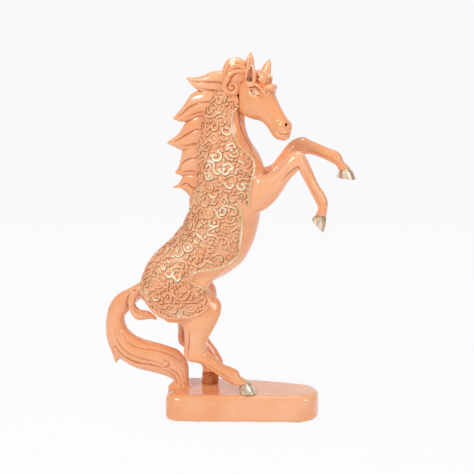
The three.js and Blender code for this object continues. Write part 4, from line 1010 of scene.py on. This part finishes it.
BARREL_SCROLLS = [
    (1.15, 3, -31, 210.4, -28.4, 208, -25, 208.8, -23.6, 211.6), (1.0, 1, -28.8, 201.6, -25, 201.2, -22.8, 204.6),
    (1.2, 2, -22.6, 209.2, -20.8, 204.4, -16.9, 200.6, -11.5, 199.2, -5.8, 197.6, -2.8, 194.4, -4.2, 190.8, -7.4,
    191.2), (1.0, 3, -20, 194.6, -17.6, 198, -14.2, 195, -15.6, 191, -19, 190.6), (1.1, 1, -26, 195.4, -22.8, 192.6,
    -22, 189, -18.6, 187.2, -15.6, 187.4), (0.9, 2, -40, 194, -40.6, 189.6, -38.2, 186.4, -35.4, 187.2), (1.15, 1,
    -30.6, 183.4, -30.6, 179.8, -26.2, 178.6, -21.9, 179.2, -20.2, 182.8, -22, 186), (1.2, 2, -22.6, 178.4, -27, 176.8,
    -30.8, 175, -32.4, 171.8, -30.4, 169.4, -25.6, 169.4, -21.8, 166.4, -22.4, 163.4), (1.25, 0, -32.4, 161, -36.9,
    164.1, -41.3, 167.6, -45, 169.8, -49.6, 171), (1.0, 0, -45.2, 175.6, -43.8, 170), (1.0, 0, -39, 174, -38.6, 169.4,
    -40.6, 167.2), (0.95, 0, -50, 165.6, -46.4, 168.6), (0.9, 0, -51.6, 168.6, -46, 169.4), (1.0, 2, -61, 161, -61.6,
    156, -58.6, 150.6), (1.0, 3, -39.6, 159, -36.2, 156.6, -36.8, 152.6, -40.4, 152), (1.0, 3, -31, 158, -27, 156.6,
    -27.4, 152.8, -31, 152.4), (1.15, 2, -24.2, 162, -20.6, 166, -16.2, 167.2, -12.4, 164.8, -10.4, 159.8, -9.8, 155,
    -6.4, 153), (1.05, 2, -18.4, 176.4, -15, 173.6, -10.6, 172.8, -6.2, 174.8, -3, 177.6), (1.0, 2, -8, 171.8, -4.8,
    169.2, -6.2, 165.2, -3, 163.2), (1.0, 3, -14.8, 161.6, -18.4, 160.4, -17.6, 156.4, -13.6, 155.8), (0.9, 0, -47.6,
    187, -48.2, 182.6), (0.9, 0, -44.4, 186, -45, 181.4), (0.9, 3, -39, 183.4, -36.6, 181, -34.6, 183), (1.0, 3, -12.6,
    184.4, -8, 183.2, -5.2, 186.4), (0.9, 3, -14.6, 180.6, -9.8, 179.6, -4.4, 181.2), (1.0, 1, -25.6, 148.4, -20.6,
    150.6, -15.6, 147.6, -13, 143.6), (0.9, 2, -22, 158.8, -23.6, 154.2, -20, 151.4), (1.1, 3, -69.6, 146.2, -66.6,
    148.6, -63.4, 147.2, -60, 149.2), (1.05, 2, -69.8, 137.6, -65.4, 141.4, -59.3, 142.2, -54.2, 139.4, -53.6, 135.6),
    (1.15, 0, -79.4, 138.6, -77.4, 132.2), (0.9, 0, -82, 136, -78, 131.6), (0.9, 0, -75.6, 138, -76.8, 132), (1.2, 3,
    -75.4, 127.8, -72.2, 125.4, -69, 127.2), (1.25, 3, -66.6, 125.2, -63.4, 121.8, -60.6, 124.6, -60.6, 128), (1.05, 1,
    -68, 129.6, -70.2, 133, -66.4, 135.8, -60.6, 135.6, -57.4, 131.4, -57, 126.6), (1.0, 3, -78.6, 117.4, -76, 114.6,
    -73, 116.2, -73.4, 119.4), (1.0, 0, -69.6, 114, -66.6, 117.4, -64.6, 116.6), (1.15, 3, -68.4, 111.4, -66.4, 106,
    -61, 102.6, -56, 102.8, -52.6, 106.6, -51.4, 110.2), (1.1, 3, -90, 105, -88, 101, -84, 100.6, -82.2, 104), (1.05,
    3, -77, 105.6, -74, 108.6, -70, 108, -69.6, 103, -71.4, 99.4, -75, 99.4), (1.1, 3, -77, 93, -72.8, 96, -67.6, 95.2,
    -64.6, 92, -66.4, 88.2, -70.4, 88.4), (1.1, 0, -63.6, 98.6, -58, 99.4, -52.6, 99.2, -46, 99.8, -42, 98.6), (0.9, 0,
    -55.6, 86.4, -49.4, 85.4, -43, 86.8), (1.0, 2, -41, 99.6, -38, 103.4, -34.4, 101.6, -35.8, 98.4), (1.0, 0, -33, 97,
    -36.4, 92.6, -39.6, 90.4), (0.9, 0, -36.8, 97, -36.4, 92.6), (1.05, 3, -84, 86.8, -81.4, 83.4, -77.6, 84), (1.05,
    2, -76.2, 82.6, -73.2, 85.2, -69, 84.6, -67.2, 81.6), (1.0, 0, -92.6, 96.6, -87, 93, -81.8, 88), (0.9, 0, -90.6,
    99.4, -85.4, 95.8, -80, 91.4), *fan(0.85, -58.4, 83, 2.2, 7, (1.5, 1.95, 2.4, 2.85, 3.25)), (1.0, 0, -96, 121.4,
    -95.4, 116.4), (0.9, 0, -93.4, 124.4, -92.6, 119.6), (1.0, 3, -49.6, 144, -46.4, 147.4, -42.6, 145.4, -43.4,
    141.6), (1.05, 3, -36, 139, -33.4, 142.4, -29.4, 141), *fan(0.8, -30.4, 139, 1.6, 5.2, (0.3, 0.9, 1.5, 2.1)), (1.0,
    3, -46.6, 139.4, -42.6, 136.4, -38.6, 137.2)]
# Bosses: middle, half sizes, turn
BOSSES = [(-27.1, 267.8, 5.2, 4.6, 0.0), (-32.3, 229.6, 4.9, 3.6, -0.25), (-32.4, 191.4, 5.6, 4.8, -0.5),
          (-53.6, 156, 5.4, 4.4, -0.35), (-85.2, 118.2, 5.6, 4.0, -0.65), (-49.4, 92.6, 5.8, 3.9, 0.05),
          (-57, 112.6, 3.2, 2.8, 0.0)]
# Where more gold was rubbed on: x, z, reach
GILDED = [(-24, 250, 9), (-13, 238, 10), (-32, 229, 6), (-26, 179, 8), (-43, 170, 9), (-53, 156, 5), (-65, 147, 6),
          (-78, 135, 5), (-71, 126, 6), (-62, 123, 5), (3, 219, 6), (-28, 209, 4), (-8, 258, 9), (4, 245, 5),
          (-12, 198, 8), (-30, 238, 7), (-10, 220, 5), (-20, 190, 6), (-86, 102, 4), (-60, 84, 5), (-14, 274, 6)]


class Carving:
    """The height of the ornament over the side view, and how much gold it carries."""

    def __init__(self, low, high, step=0.2):
        self.low, self.step = np.array(low, float), step
        self.shape = tuple(int((h - l) / step) + 1 for l, h in zip(low, high))
        self.xs, self.zs = (self.low[i] + np.arange(self.shape[i]) * step for i in range(2))
        self.height = np.zeros(self.shape, np.float32)
        self.gap = np.full(self.shape, 9.0, np.float32)

    def window(self, low, high, margin):
        """The index ranges, and the coordinates there, between two corners with a margin."""
        cut = []
        for i in range(2):
            a = int(max((low[i] - margin - self.low[i]) / self.step, 0))
            b = int(min((high[i] + margin - self.low[i]) / self.step + 1, self.shape[i]))
            cut.append(slice(min(a, b), b))
        return tuple(cut), self.xs[cut[0]][:, None], self.zs[cut[1]][None, :]

    def stroke(self, points, radii, tall=1.0):
        """A rounded cord along a curve."""
        points = np.asarray(points, float)
        radii = np.broadcast_to(np.asarray(radii, float), (len(points),))
        for p, q, rp, rq in zip(points, points[1:], radii, radii[1:]):
            cut, x, z = self.window(np.minimum(p, q), np.maximum(p, q), 6.5)
            if not x.size or not z.size:
                continue
            way = q - p
            share = np.clip(((x - p[0]) * way[0] + (z - p[1]) * way[1]) / max(way @ way, 1e-9), 0, 1)
            away = np.hypot(x - p[0] - share * way[0], z - p[1] - share * way[1])
            wide = (rp + share * (rq - rp)) * 1.3
            lift = tall * (0.62 + 0.38 * np.minimum(wide / 1.3, 1)) * np.clip(1 - (away / wide) ** 2, 0, 1) ** 0.65
            self.height[cut] = np.maximum(self.height[cut], lift)
            self.gap[cut] = np.minimum(self.gap[cut], away - wide)

    def scroll(self, radius, balls, *points):
        """A stroke that tapers to its ends, or ends in balls."""
        fine = spline(np.reshape(points, (-1, 2)), 7)
        ends = [0.7 if balls & flag else 0.25 for flag in (1, 2)]
        t = np.linspace(0, 1, len(fine))
        self.stroke(fine, 1.12 * radius * (1 - (1 - ends[0]) * (1 - t) ** 2 - (1 - ends[1]) * t ** 2))
        for flag, end in ((1, 0), (2, -1)):
            if balls & flag:
                self.stroke([fine[end], fine[end] + 0.01], radius * 1.32, 1.08)

    def boss(self, x, z, wide, tall, turn):
        """A pointed oval frame with a bead in it."""
        angles = np.linspace(0, 2 * math.pi, 33)
        power = lambda v: np.sign(v) * np.abs(v) ** 1.45
        ring_x, ring_z = wide * power(np.cos(angles)), tall * power(np.sin(angles))
        c, d = math.cos(turn), math.sin(turn)
        outline = np.stack([x + ring_x * c - ring_z * d, z + ring_x * d + ring_z * c], 1)
        self.stroke(outline, 0.85)
        cut, px, pz = self.window([x, z], [x, z], wide + 1)
        across = (px - x) * c + (pz - z) * d
        along = -(px - x) * d + (pz - z) * c
        inside = (np.abs(across) / wide) ** 1.4 + (np.abs(along) / tall) ** 1.4
        bead = 0.15 + 0.7 * np.clip(1 - inside * 2.4, 0, 1) ** 0.6
        self.height[cut] = np.maximum(self.height[cut], np.where(inside < 0.9, bead, 0))
        self.gap[cut] = np.minimum(self.gap[cut], np.where(inside < 0.9, np.where(inside > 0.4, 0.15, -1.0), 9.0))

    def fill(self, region, draws):
        """Leafy scrolls, fans and leaves in the room that is left, the large ones first."""
        every = 4
        near = outline_distance(region, self.xs[::every], self.zs[::every]) < 19
        for size in (6.2, 5.0, 4.0, 3.1, 2.3, 1.6):
            spots = np.argwhere((self.gap[::every, ::every] > size + 0.2) & near)
            draws.shuffle(spots)
            for i, j in spots:
                if self.gap[i * every, j * every] <= size + 0.2:
                    continue
                middle = np.array([self.xs[i * every], self.zs[j * every]])
                start, way, kind = draws.uniform(0, 2 * math.pi), draws.choice([-1, 1]), draws.uniform()
                spot = lambda angle, reach: middle + np.array([math.cos(angle), math.sin(angle)]) * reach * size
                if size > 3 and kind < 0.62:
                    t = np.linspace(0, 1, 20)
                    turn = start + way * t * 1.25 * math.pi
                    arc = middle + np.stack([np.cos(turn), np.sin(turn)], 1) * (size * (0.52 + 0.44 * t))[:, None]
                    self.stroke(arc, (0.5 + 0.11 * size) * (1 - 0.75 * t ** 1.5))
                    for share, long in ((7, 0.95), (12, 0.8)):
                        bend = turn[share] + way * 0.5
                        leaf = spline([arc[share], middle * 0.75 + arc[share] * 0.25,
                                       middle + np.array([math.cos(bend + math.pi), math.sin(bend + math.pi)])
                                       * size * 0.42 * long], 5)
                        self.stroke(leaf, (0.35 + 0.08 * size) * np.sin(np.linspace(0.5, 2.9, len(leaf))))
                elif size > 2:
                    for turn, long in ((-0.75, 0.85), (0.0, 1.0), (0.75, 0.85)):
                        leaf = spline([spot(start + math.pi, 0.85), spot(start + way * 0.3 + turn * 0.6, 0.1),
                                       spot(start + turn, 0.92 * long)], 6)
                        self.stroke(leaf, (0.34 + 0.13 * size) * np.sin(np.linspace(0.25, 2.75, len(leaf))))
                else:
                    leaf = spline([spot(start, 0.95), spot(start + way * 1.2, 0.3), spot(start + 2.7 * way, 0.9)], 6)
                    self.stroke(leaf, (0.3 + 0.36 * size) * np.sin(np.linspace(0.2, 2.8, len(leaf))))

    def at(self, x, z, h=None):
        """The height, or another map, at any points."""
        u = np.clip((x - self.low[0]) / self.step, 0, self.shape[0] - 1.01)
        v = np.clip((z - self.low[1]) / self.step, 0, self.shape[1] - 1.01)
        i, j = u.astype(int), v.astype(int)
        fu, fv = u - i, v - j
        h = self.height if h is None else h
        return ((h[i, j] * (1 - fu) + h[i + 1, j] * fu) * (1 - fv)
                + (h[i, j + 1] * (1 - fu) + h[i + 1, j + 1] * fu) * fv)


BODY_RADIUS = 26


def unrolled(x, z, normal):
    """Side-view coordinates, let out where the surface turns away from the side."""
    lean = np.arcsin(np.clip(np.abs(normal[1]), 0, 1))
    flat = np.hypot(normal[0], normal[2]) + 1e-9
    out = BODY_RADIUS * ((np.pi / 2 - lean) - np.cos(lean))
    return x + out * normal[0] / flat, z + out * normal[2] / flat


# y beyond which no relief stands out on the right flank
RIGHT_FLANK = -37.3


def coat(name, carving, region, low, high, step, rise, tall, nodes, limits):
    """A raised coat over part of the body with the ornament standing on it."""
    block = Block(low, high, step)
    base = block.resample(body_block, whole)
    border = np.broadcast_to(outline_distance(region, block.axes[0], block.axes[2])[:, None, :], block.shape)
    border = limits(block, border)
    band = (np.abs(base + rise) < 3.2) & (border < 1.5)
    normal = np.stack([slope[band] for slope in np.gradient(base, block.step)])
    normal /= np.maximum(np.linalg.norm(normal, axis=0), 1e-6)
    i, _, k = np.nonzero(band)
    u, v = unrolled(block.axes[0][i], block.axes[2][k], normal)
    lift = np.zeros(block.shape, np.float32)
    edge = np.clip(-border[band] / 1.2, 0, 1)
    lift[band] = carving.at(u, v) * tall * edge
    field = carve(base - rise - lift, -border, 0.5)
    field = np.maximum(field, -(base + 0.7))
    field = np.maximum(field, RIGHT_FLANK - block.grid()[1])

    def more(points):
        """Height, gold, and the painted shadow line that lies along the strokes, to their lower right."""
        index = np.round(points / block.step - block.low).astype(int)
        a, b, c = np.clip(index, 1, np.array(block.shape) - 2).T
        n = np.stack([base[a + 1, b, c] - base[a - 1, b, c], base[a, b + 1, c] - base[a, b - 1, c],
                      base[a, b, c + 1] - base[a, b, c - 1]])
        n /= np.maximum(np.linalg.norm(n, axis=0), 1e-6)
        pu, pv = unrolled(points[:, 0], points[:, 2], n)
        gilt = np.zeros(len(points))
        for x, z, reach in GILDED:
            gilt += np.exp(-((pu - x) ** 2 + (pv - z) ** 2) / (reach * 0.8) ** 2)
        gap = carving.at(pu, pv, carving.gap)
        # Painted shadow: brown along the strokes' edges, strongest on their lower right, where shade falls
        below = (carving.at(pu + 0.24, pv - 0.32, carving.gap) - gap) / 0.4
        shadow_line = np.clip(1.2 - np.abs(gap - 0.25) / 0.9, 0, 1) * (0.2 + 0.8 * np.clip(below * 1.3 + 0.15, 0, 1))
        return {"relief": carving.at(pu, pv), "gilt": np.clip(gilt, 0, 1), "shadow_line": shadow_line}

    sculpted(name, block, field.astype(np.float32), relief, nodes, passes=1, reach=1.1, more=more)


draws = np.random.default_rng(11)
CHEST = [*CHEST_FRONT, [9, 199.5], [2, 202.4], *GIRTH, *CHEST_BACK]
BARREL = [[-3, 204], *BARREL_FRONT[1:], *THIGH_RIM, *BARREL_BACK]
carving = Carving([-150, 56], [44, 340])
for row in CHEST_SCROLLS + BARREL_SCROLLS:
    carving.scroll(*row)
for row in BOSSES:
    carving.boss(*row)
carving.fill(CHEST, draws)
carving.fill(BARREL, draws)


def chest_limits(side):
    """Each chest coat keeps to its own side."""
    return lambda block, border: np.maximum(border, 5.0 - side * block.grid()[1])


def barrel_limits(block, border):
    """The barrel's coat leaves the middle bare except over the rump, and stays clear of the tail."""
    x, y, z = block.grid()
    bare_half, rump_z, rump_x, belly_z = 13, 113, -40, 120
    below_rump = np.maximum(rump_z - z, x - rump_x)
    outside = np.minimum(bare_half - np.abs(y), below_rump)
    outside = np.maximum(outside, np.where((y > 0) & (z < belly_z), x - LEFT_COAT_END, -9))
    tail = block.resample(body_block, tail_here)
    return np.maximum(np.maximum(border, outside), 2.2 - tail)


for name, side in SIDES.items():
    low_y, high_y = sorted((4 * side, 34 * side))
    coat(f"chest_scrollwork_{name}", carving, CHEST, [-66, low_y, 192], [20, high_y, 326], 0.45, 0.65, 1.5,
         [f"chest_panel_{name}"], chest_limits(side))
coat("barrel_scrollwork", carving, BARREL, [-112, -40, 76], [8, 40, 224], 0.5, 0.45, 1.45,
     ["barrel_panel_right", "barrel_panel_left"], barrel_limits)


# Trims: a string of beads along each coat's front edge, and the smooth lip under each thigh

def along(points, step):
    """Points at even steps along a curve, and the share of its length each lies at."""
    gaps = np.linalg.norm(np.diff(points, axis=0), axis=1)
    total = np.concatenate([[0], np.cumsum(gaps)])
    at = np.arange(0, total[-1], step)
    return np.stack([np.interp(at, total, points[:, i]) for i in range(3)], 1), at / total[-1]


def trim_piece(name, line, side, radius, lift, nodes, paint, beads_to=0.0, ends_at=None):
    """A cord laid on the body, with beads over a share of its length."""
    whole_line = laid(body_block, whole, line, side, 8, lift)
    whole_line = whole_line[side * whole_line[:, 1] > 6]
    if ends_at is not None:
        whole_line = whole_line[whole_line[:, 0] < ends_at]
    for _ in range(4):
        whole_line[1:-1] = (whole_line[:-2] + 2 * whole_line[1:-1] + whole_line[2:]) / 4
    low, high = whole_line.min(0) - 3, whole_line.max(0) + 3
    block = Block(low, high, 0.33)
    field = block.tubes([(whole_line, radius)], 2.5)
    for dot, share in zip(*along(whole_line, 2.1)):
        if share < beads_to:
            cut, x, y, z = block.part(dot - 3.4, dot + 3.4)
            ball = np.sqrt((x - dot[0]) ** 2 + (y - dot[1]) ** 2 + (z - dot[2]) ** 2) - 1.22
            field[cut] = join(field[cut], ball, 0.25)
    sculpted(name, block, field, paint, nodes, passes=1, reach=0.8)


for name, side in SIDES.items():
    trim_piece(f"chest_beads_{name}", CHEST_FRONT, side, 1.05, 0.9, [f"chest_trim_{name}"], bead_gold, 0.84)
    trim_piece(f"barrel_beads_{name}", BARREL_FRONT, side, 0.95, 0.75, [f"barrel_trim_{name}"], bead_gold,
               0.78)
    trim_piece(f"thigh_lip_{name}", THIGH_RIM, side, 1.45, 0.5, [f"thigh_rim_{name}"], resin,
               ends_at=LEFT_LIP_END if side == LEFT else None)


# Hooves: a wall that flares to the sole, and a coronet line above it

# Leg, stations from coronet to sole, and y of the middle
HOOVES = {
    "hoof_fore_right": (FORE_RIGHT, [[[76.5, 190.2], [87.8, 187.2], 6.8], [[74.6, 188.2], [87, 180.5], 7.5],
                                     [[72.6, 186.2], [85, 172.8], 8]], -17),
    "hoof_fore_left": (FORE_LEFT, [[[97.6, 230.4], [109.8, 233.6], 7.2], [[96.6, 227.5], [113, 228.6], 8],
                                   [[96, 224.6], [115.4, 222.4], 8.5]], 17),
    "hoof_hind_right": (HIND_RIGHT, [[[-1.2, 8.6], [10.2, 12.3], 7.7], [[-1, 4.4], [14.2, 6.4], 8.5],
                                     [[-0.8, 0.3], [17, 0.3], 9]], -19),
    "hoof_hind_left": (HIND_LEFT, [[[-45.8, 10.4], [-27.2, 12], 7.7], [[-46, 5.4], [-27.8, 6.2], 8.4],
                                   [[-46, 0.3], [-28.6, 0.3], 8.8]], 19),
}


def hoof_gold(name, shade, pale, worn):
    """Pale gold over grey, brushed down the wall."""
    n = Nodes(name)
    squeeze = n.add("ShaderNodeMapping")
    squeeze.inputs["Scale"].default_value = (1, 1, 0.18)
    n.link(n.place(), squeeze.inputs["Vector"])
    streaks = n.add("ShaderNodeTexNoise")
    streaks.inputs["Scale"].default_value = 240
    n.link(squeeze.outputs[0], streaks.inputs["Vector"])
    base = n.mix(n.spread(streaks.outputs["Fac"], 0.38, 0.62), shade, pale)
    base = n.mix(n.spread(n.noise(70.0), 0.45, 0.7, 0.0, 0.5), base, worn)
    # Painted shade: dark brown in the hollows, such as the coronet groove
    base = n.mix(n.spread(n.attribute("hollow"), 0.02, 0.25, 0.0, 0.9), base, colour(120, 78, 44))
    n.feed(base, "Base Color")
    n.feed(n.spread(streaks.outputs["Fac"], 0.3, 0.7, 0.34, 0.2), "Roughness")
    n.bump(streaks.outputs["Fac"], 0.2, 0.0004)
    n.set(Metallic=0.4)
    return n.material


def hoof_piece(name, leg, rim_and_sole, y):
    """A hoof that starts in its leg's last station."""
    end = leg[-1]
    back, front = end[0:2], end[2:4]
    root = [back * 0.9 + front * 0.1, front * 0.9 + back * 0.1, 0.8 * end[4]]
    rows = stations([root, *rim_and_sole], y)
    points = rows[:, :4].reshape(-1, 2)
    block = Block([points[:, 0].min() - 3, y - 12, points[:, 1].min() - 2],
                  [points[:, 0].max() + 3, y + 12, points[:, 1].max() + 3], 0.28)
    dense = np.vstack([np.linspace(rows[0], rows[1], 4)[:-1], spline(rows[1:], 6)])
    field = block.solid(loft(dense, 48, 2, (0, 0)), 5.0)
    groove_row = rows[1] * 0.8 + rows[2] * 0.2
    around = np.array([ring(groove_row, a) for a in np.linspace(0, 2 * math.pi, 40)])
    field = carve(field, block.tubes([(around, 0.5)], 2.0), 0.4)
    # The far hind hoof gets a brown-orange copy of the gold, painted as it looks in shade
    paint = shaded_hoof_paint if name == "hoof_hind_left" else hoof_paint
    sculpted(f"{name}_wall", block, field, paint, [name], reach=0.9)


hoof_paint = hoof_gold("hoof_gold", colour(200, 168, 128), colour(252, 238, 214), colour(178, 144, 104))
# Painted shade: the far hind hoof's gold in brown-orange, as it looks in shadow
shaded_hoof_paint = hoof_gold("hoof_gold_in_shade", colour(196, 112, 58), colour(226, 146, 92), colour(150, 80, 34))
for name, (leg, rim_and_sole, y) in HOOVES.items():
    hoof_piece(name, leg, rim_and_sole, y)


# Plinth slab, felt pads and wires

block = Block([-82, -41, -31], [84, 45, 3], 0.75)
sculpted("plinth_slab", block, plinth_field(block), resin, ["plinth"], reach=3.0)


def felt_paint():
    n = Nodes("dark_felt")
    fibre = n.noise(900.0, 4.0, 0.7)
    n.feed(n.mix(n.spread(fibre, 0.3, 0.7), colour(34, 28, 26), colour(62, 52, 48)), "Base Color")
    n.bump(fibre, 0.6, 0.0005)
    n.set(Roughness=0.95, Specular_IOR_Level=0.2)
    return n.material


def wire_finish():
    n = Nodes("drawn_steel")
    n.feed(n.mix(n.noise(500.0), colour(120, 120, 118), colour(170, 170, 168)), "Base Color")
    n.feed(n.spread(n.noise(700.0, 2.0), 0.3, 0.7, 0.3, 0.5), "Roughness")
    n.set(Metallic=0.95)
    return n.material


felt, steel = felt_paint(), wire_finish()
for name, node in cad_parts.items():
    paint = felt if name.startswith("felt") else steel if name.startswith("wire") else None
    if paint:
        node.data.materials.clear()
        node.data.materials.append(paint)


# Stage, light and camera

def stage():
    """A floor that bends up into a backdrop, nearly white in view and in the glaze."""
    floor_mesh = bpy.data.meshes.new("floor")
    depth, rise, bend, half = 2.9, 3.2, 0.7, 4.5
    glow_in_view, share_in_glaze = 0.92, 0.55
    profile = [(-half, 0.0), (depth - bend, 0.0)]
    profile += [(depth - bend + bend * math.sin(a), bend - bend * math.cos(a)) for a in np.linspace(0.1, 1.5, 14)]
    profile += [(depth, rise)]
    points = [(x, y, z) for y, z in profile for x in (-half, half)]
    faces = [(2 * i, 2 * i + 1, 2 * i + 3, 2 * i + 2) for i in range(len(profile) - 1)]
    floor_mesh.from_pydata(points, [], faces)
    floor_mesh.polygons.foreach_set("use_smooth", np.ones(len(faces), bool))
    n = Nodes("backdrop")
    n.shader.inputs["Base Color"].default_value = (0.93, 0.92, 0.95, 1)
    n.set(Roughness=0.9, Specular_IOR_Level=0.1)
    glow = n.add("ShaderNodeEmission")
    glow.inputs["Color"].default_value = (0.985, 0.98, 1, 1)
    seen = n.add("ShaderNodeLightPath")
    straight = n.math("MAXIMUM", seen.outputs["Is Camera Ray"],
                      n.math("MULTIPLY", seen.outputs["Is Glossy Ray"], share_in_glaze))
    both = n.add("ShaderNodeMixShader")
    n.link(n.math("MULTIPLY", straight, glow_in_view), both.inputs[0])
    n.link(n.shader.outputs[0], both.inputs[1])
    n.link(glow.outputs[0], both.inputs[2])
    n.link(both.outputs[0], n.tree.nodes["Material Output"].inputs["Surface"])
    floor_mesh.materials.append(n.material)
    added("floor", floor_mesh)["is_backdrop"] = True


def lamp(name, place, target, size, power):
    data = bpy.data.lights.new(name, "AREA")
    data.shape, data.size, data.energy = "DISK", size, power
    obj = added(name, data)
    obj.location = place
    obj.rotation_euler = (Vector(target) - Vector(place)).to_track_quat("-Z", "Y").to_euler()


stage()
centre = (0.01, 0.0, 0.2)
lamp("key", (-0.9, -1.3, 1.5), centre, 0.6, 16)
lamp("fill", (1.5, -1.2, 0.9), centre, 0.8, 8.5)
lamp("top", (0.1, 0.2, 1.9), centre, 0.8, 8)

# The sky's strength as light, and what is added to it in view
SKY_LIGHT, SKY_IN_VIEW = 0.45, 0.57
world = bpy.data.worlds.new("studio")
bpy.context.scene.world = world
world.use_nodes = True
world.node_tree.nodes["Background"].inputs["Color"].default_value = (0.93, 0.93, 0.97, 1)
sky = world.node_tree
seen = sky.nodes.new("ShaderNodeLightPath")
level = sky.nodes.new("ShaderNodeMath")
level.operation = "MULTIPLY_ADD"
level.inputs[1].default_value, level.inputs[2].default_value = SKY_IN_VIEW, SKY_LIGHT
sky.links.new(seen.outputs["Is Camera Ray"], level.inputs[0])
sky.links.new(level.outputs[0], sky.nodes["Background"].inputs["Strength"])

# The point the camera aims at, and its turn, tilt and distance in metres
AIM = np.array([-6, 0, 162.3])
azimuth, elevation, distance = math.radians(7), math.radians(11), 1.7
back = Vector((math.sin(azimuth) * math.cos(elevation), -math.cos(azimuth) * math.cos(elevation),
               math.sin(elevation)))
camera_data = bpy.data.cameras.new("camera")
camera_data.sensor_width = 36
camera_data.lens = 124.55
camera = added("camera", camera_data)
camera.location = Vector(((SHIFT + AIM) / 1000).tolist()) + back * distance
camera.rotation_euler = (-back).to_track_quat("-Z", "Y").to_euler()
bpy.context.scene.camera = camera
bpy.context.scene.view_settings.view_transform = "Standard"

low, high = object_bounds()
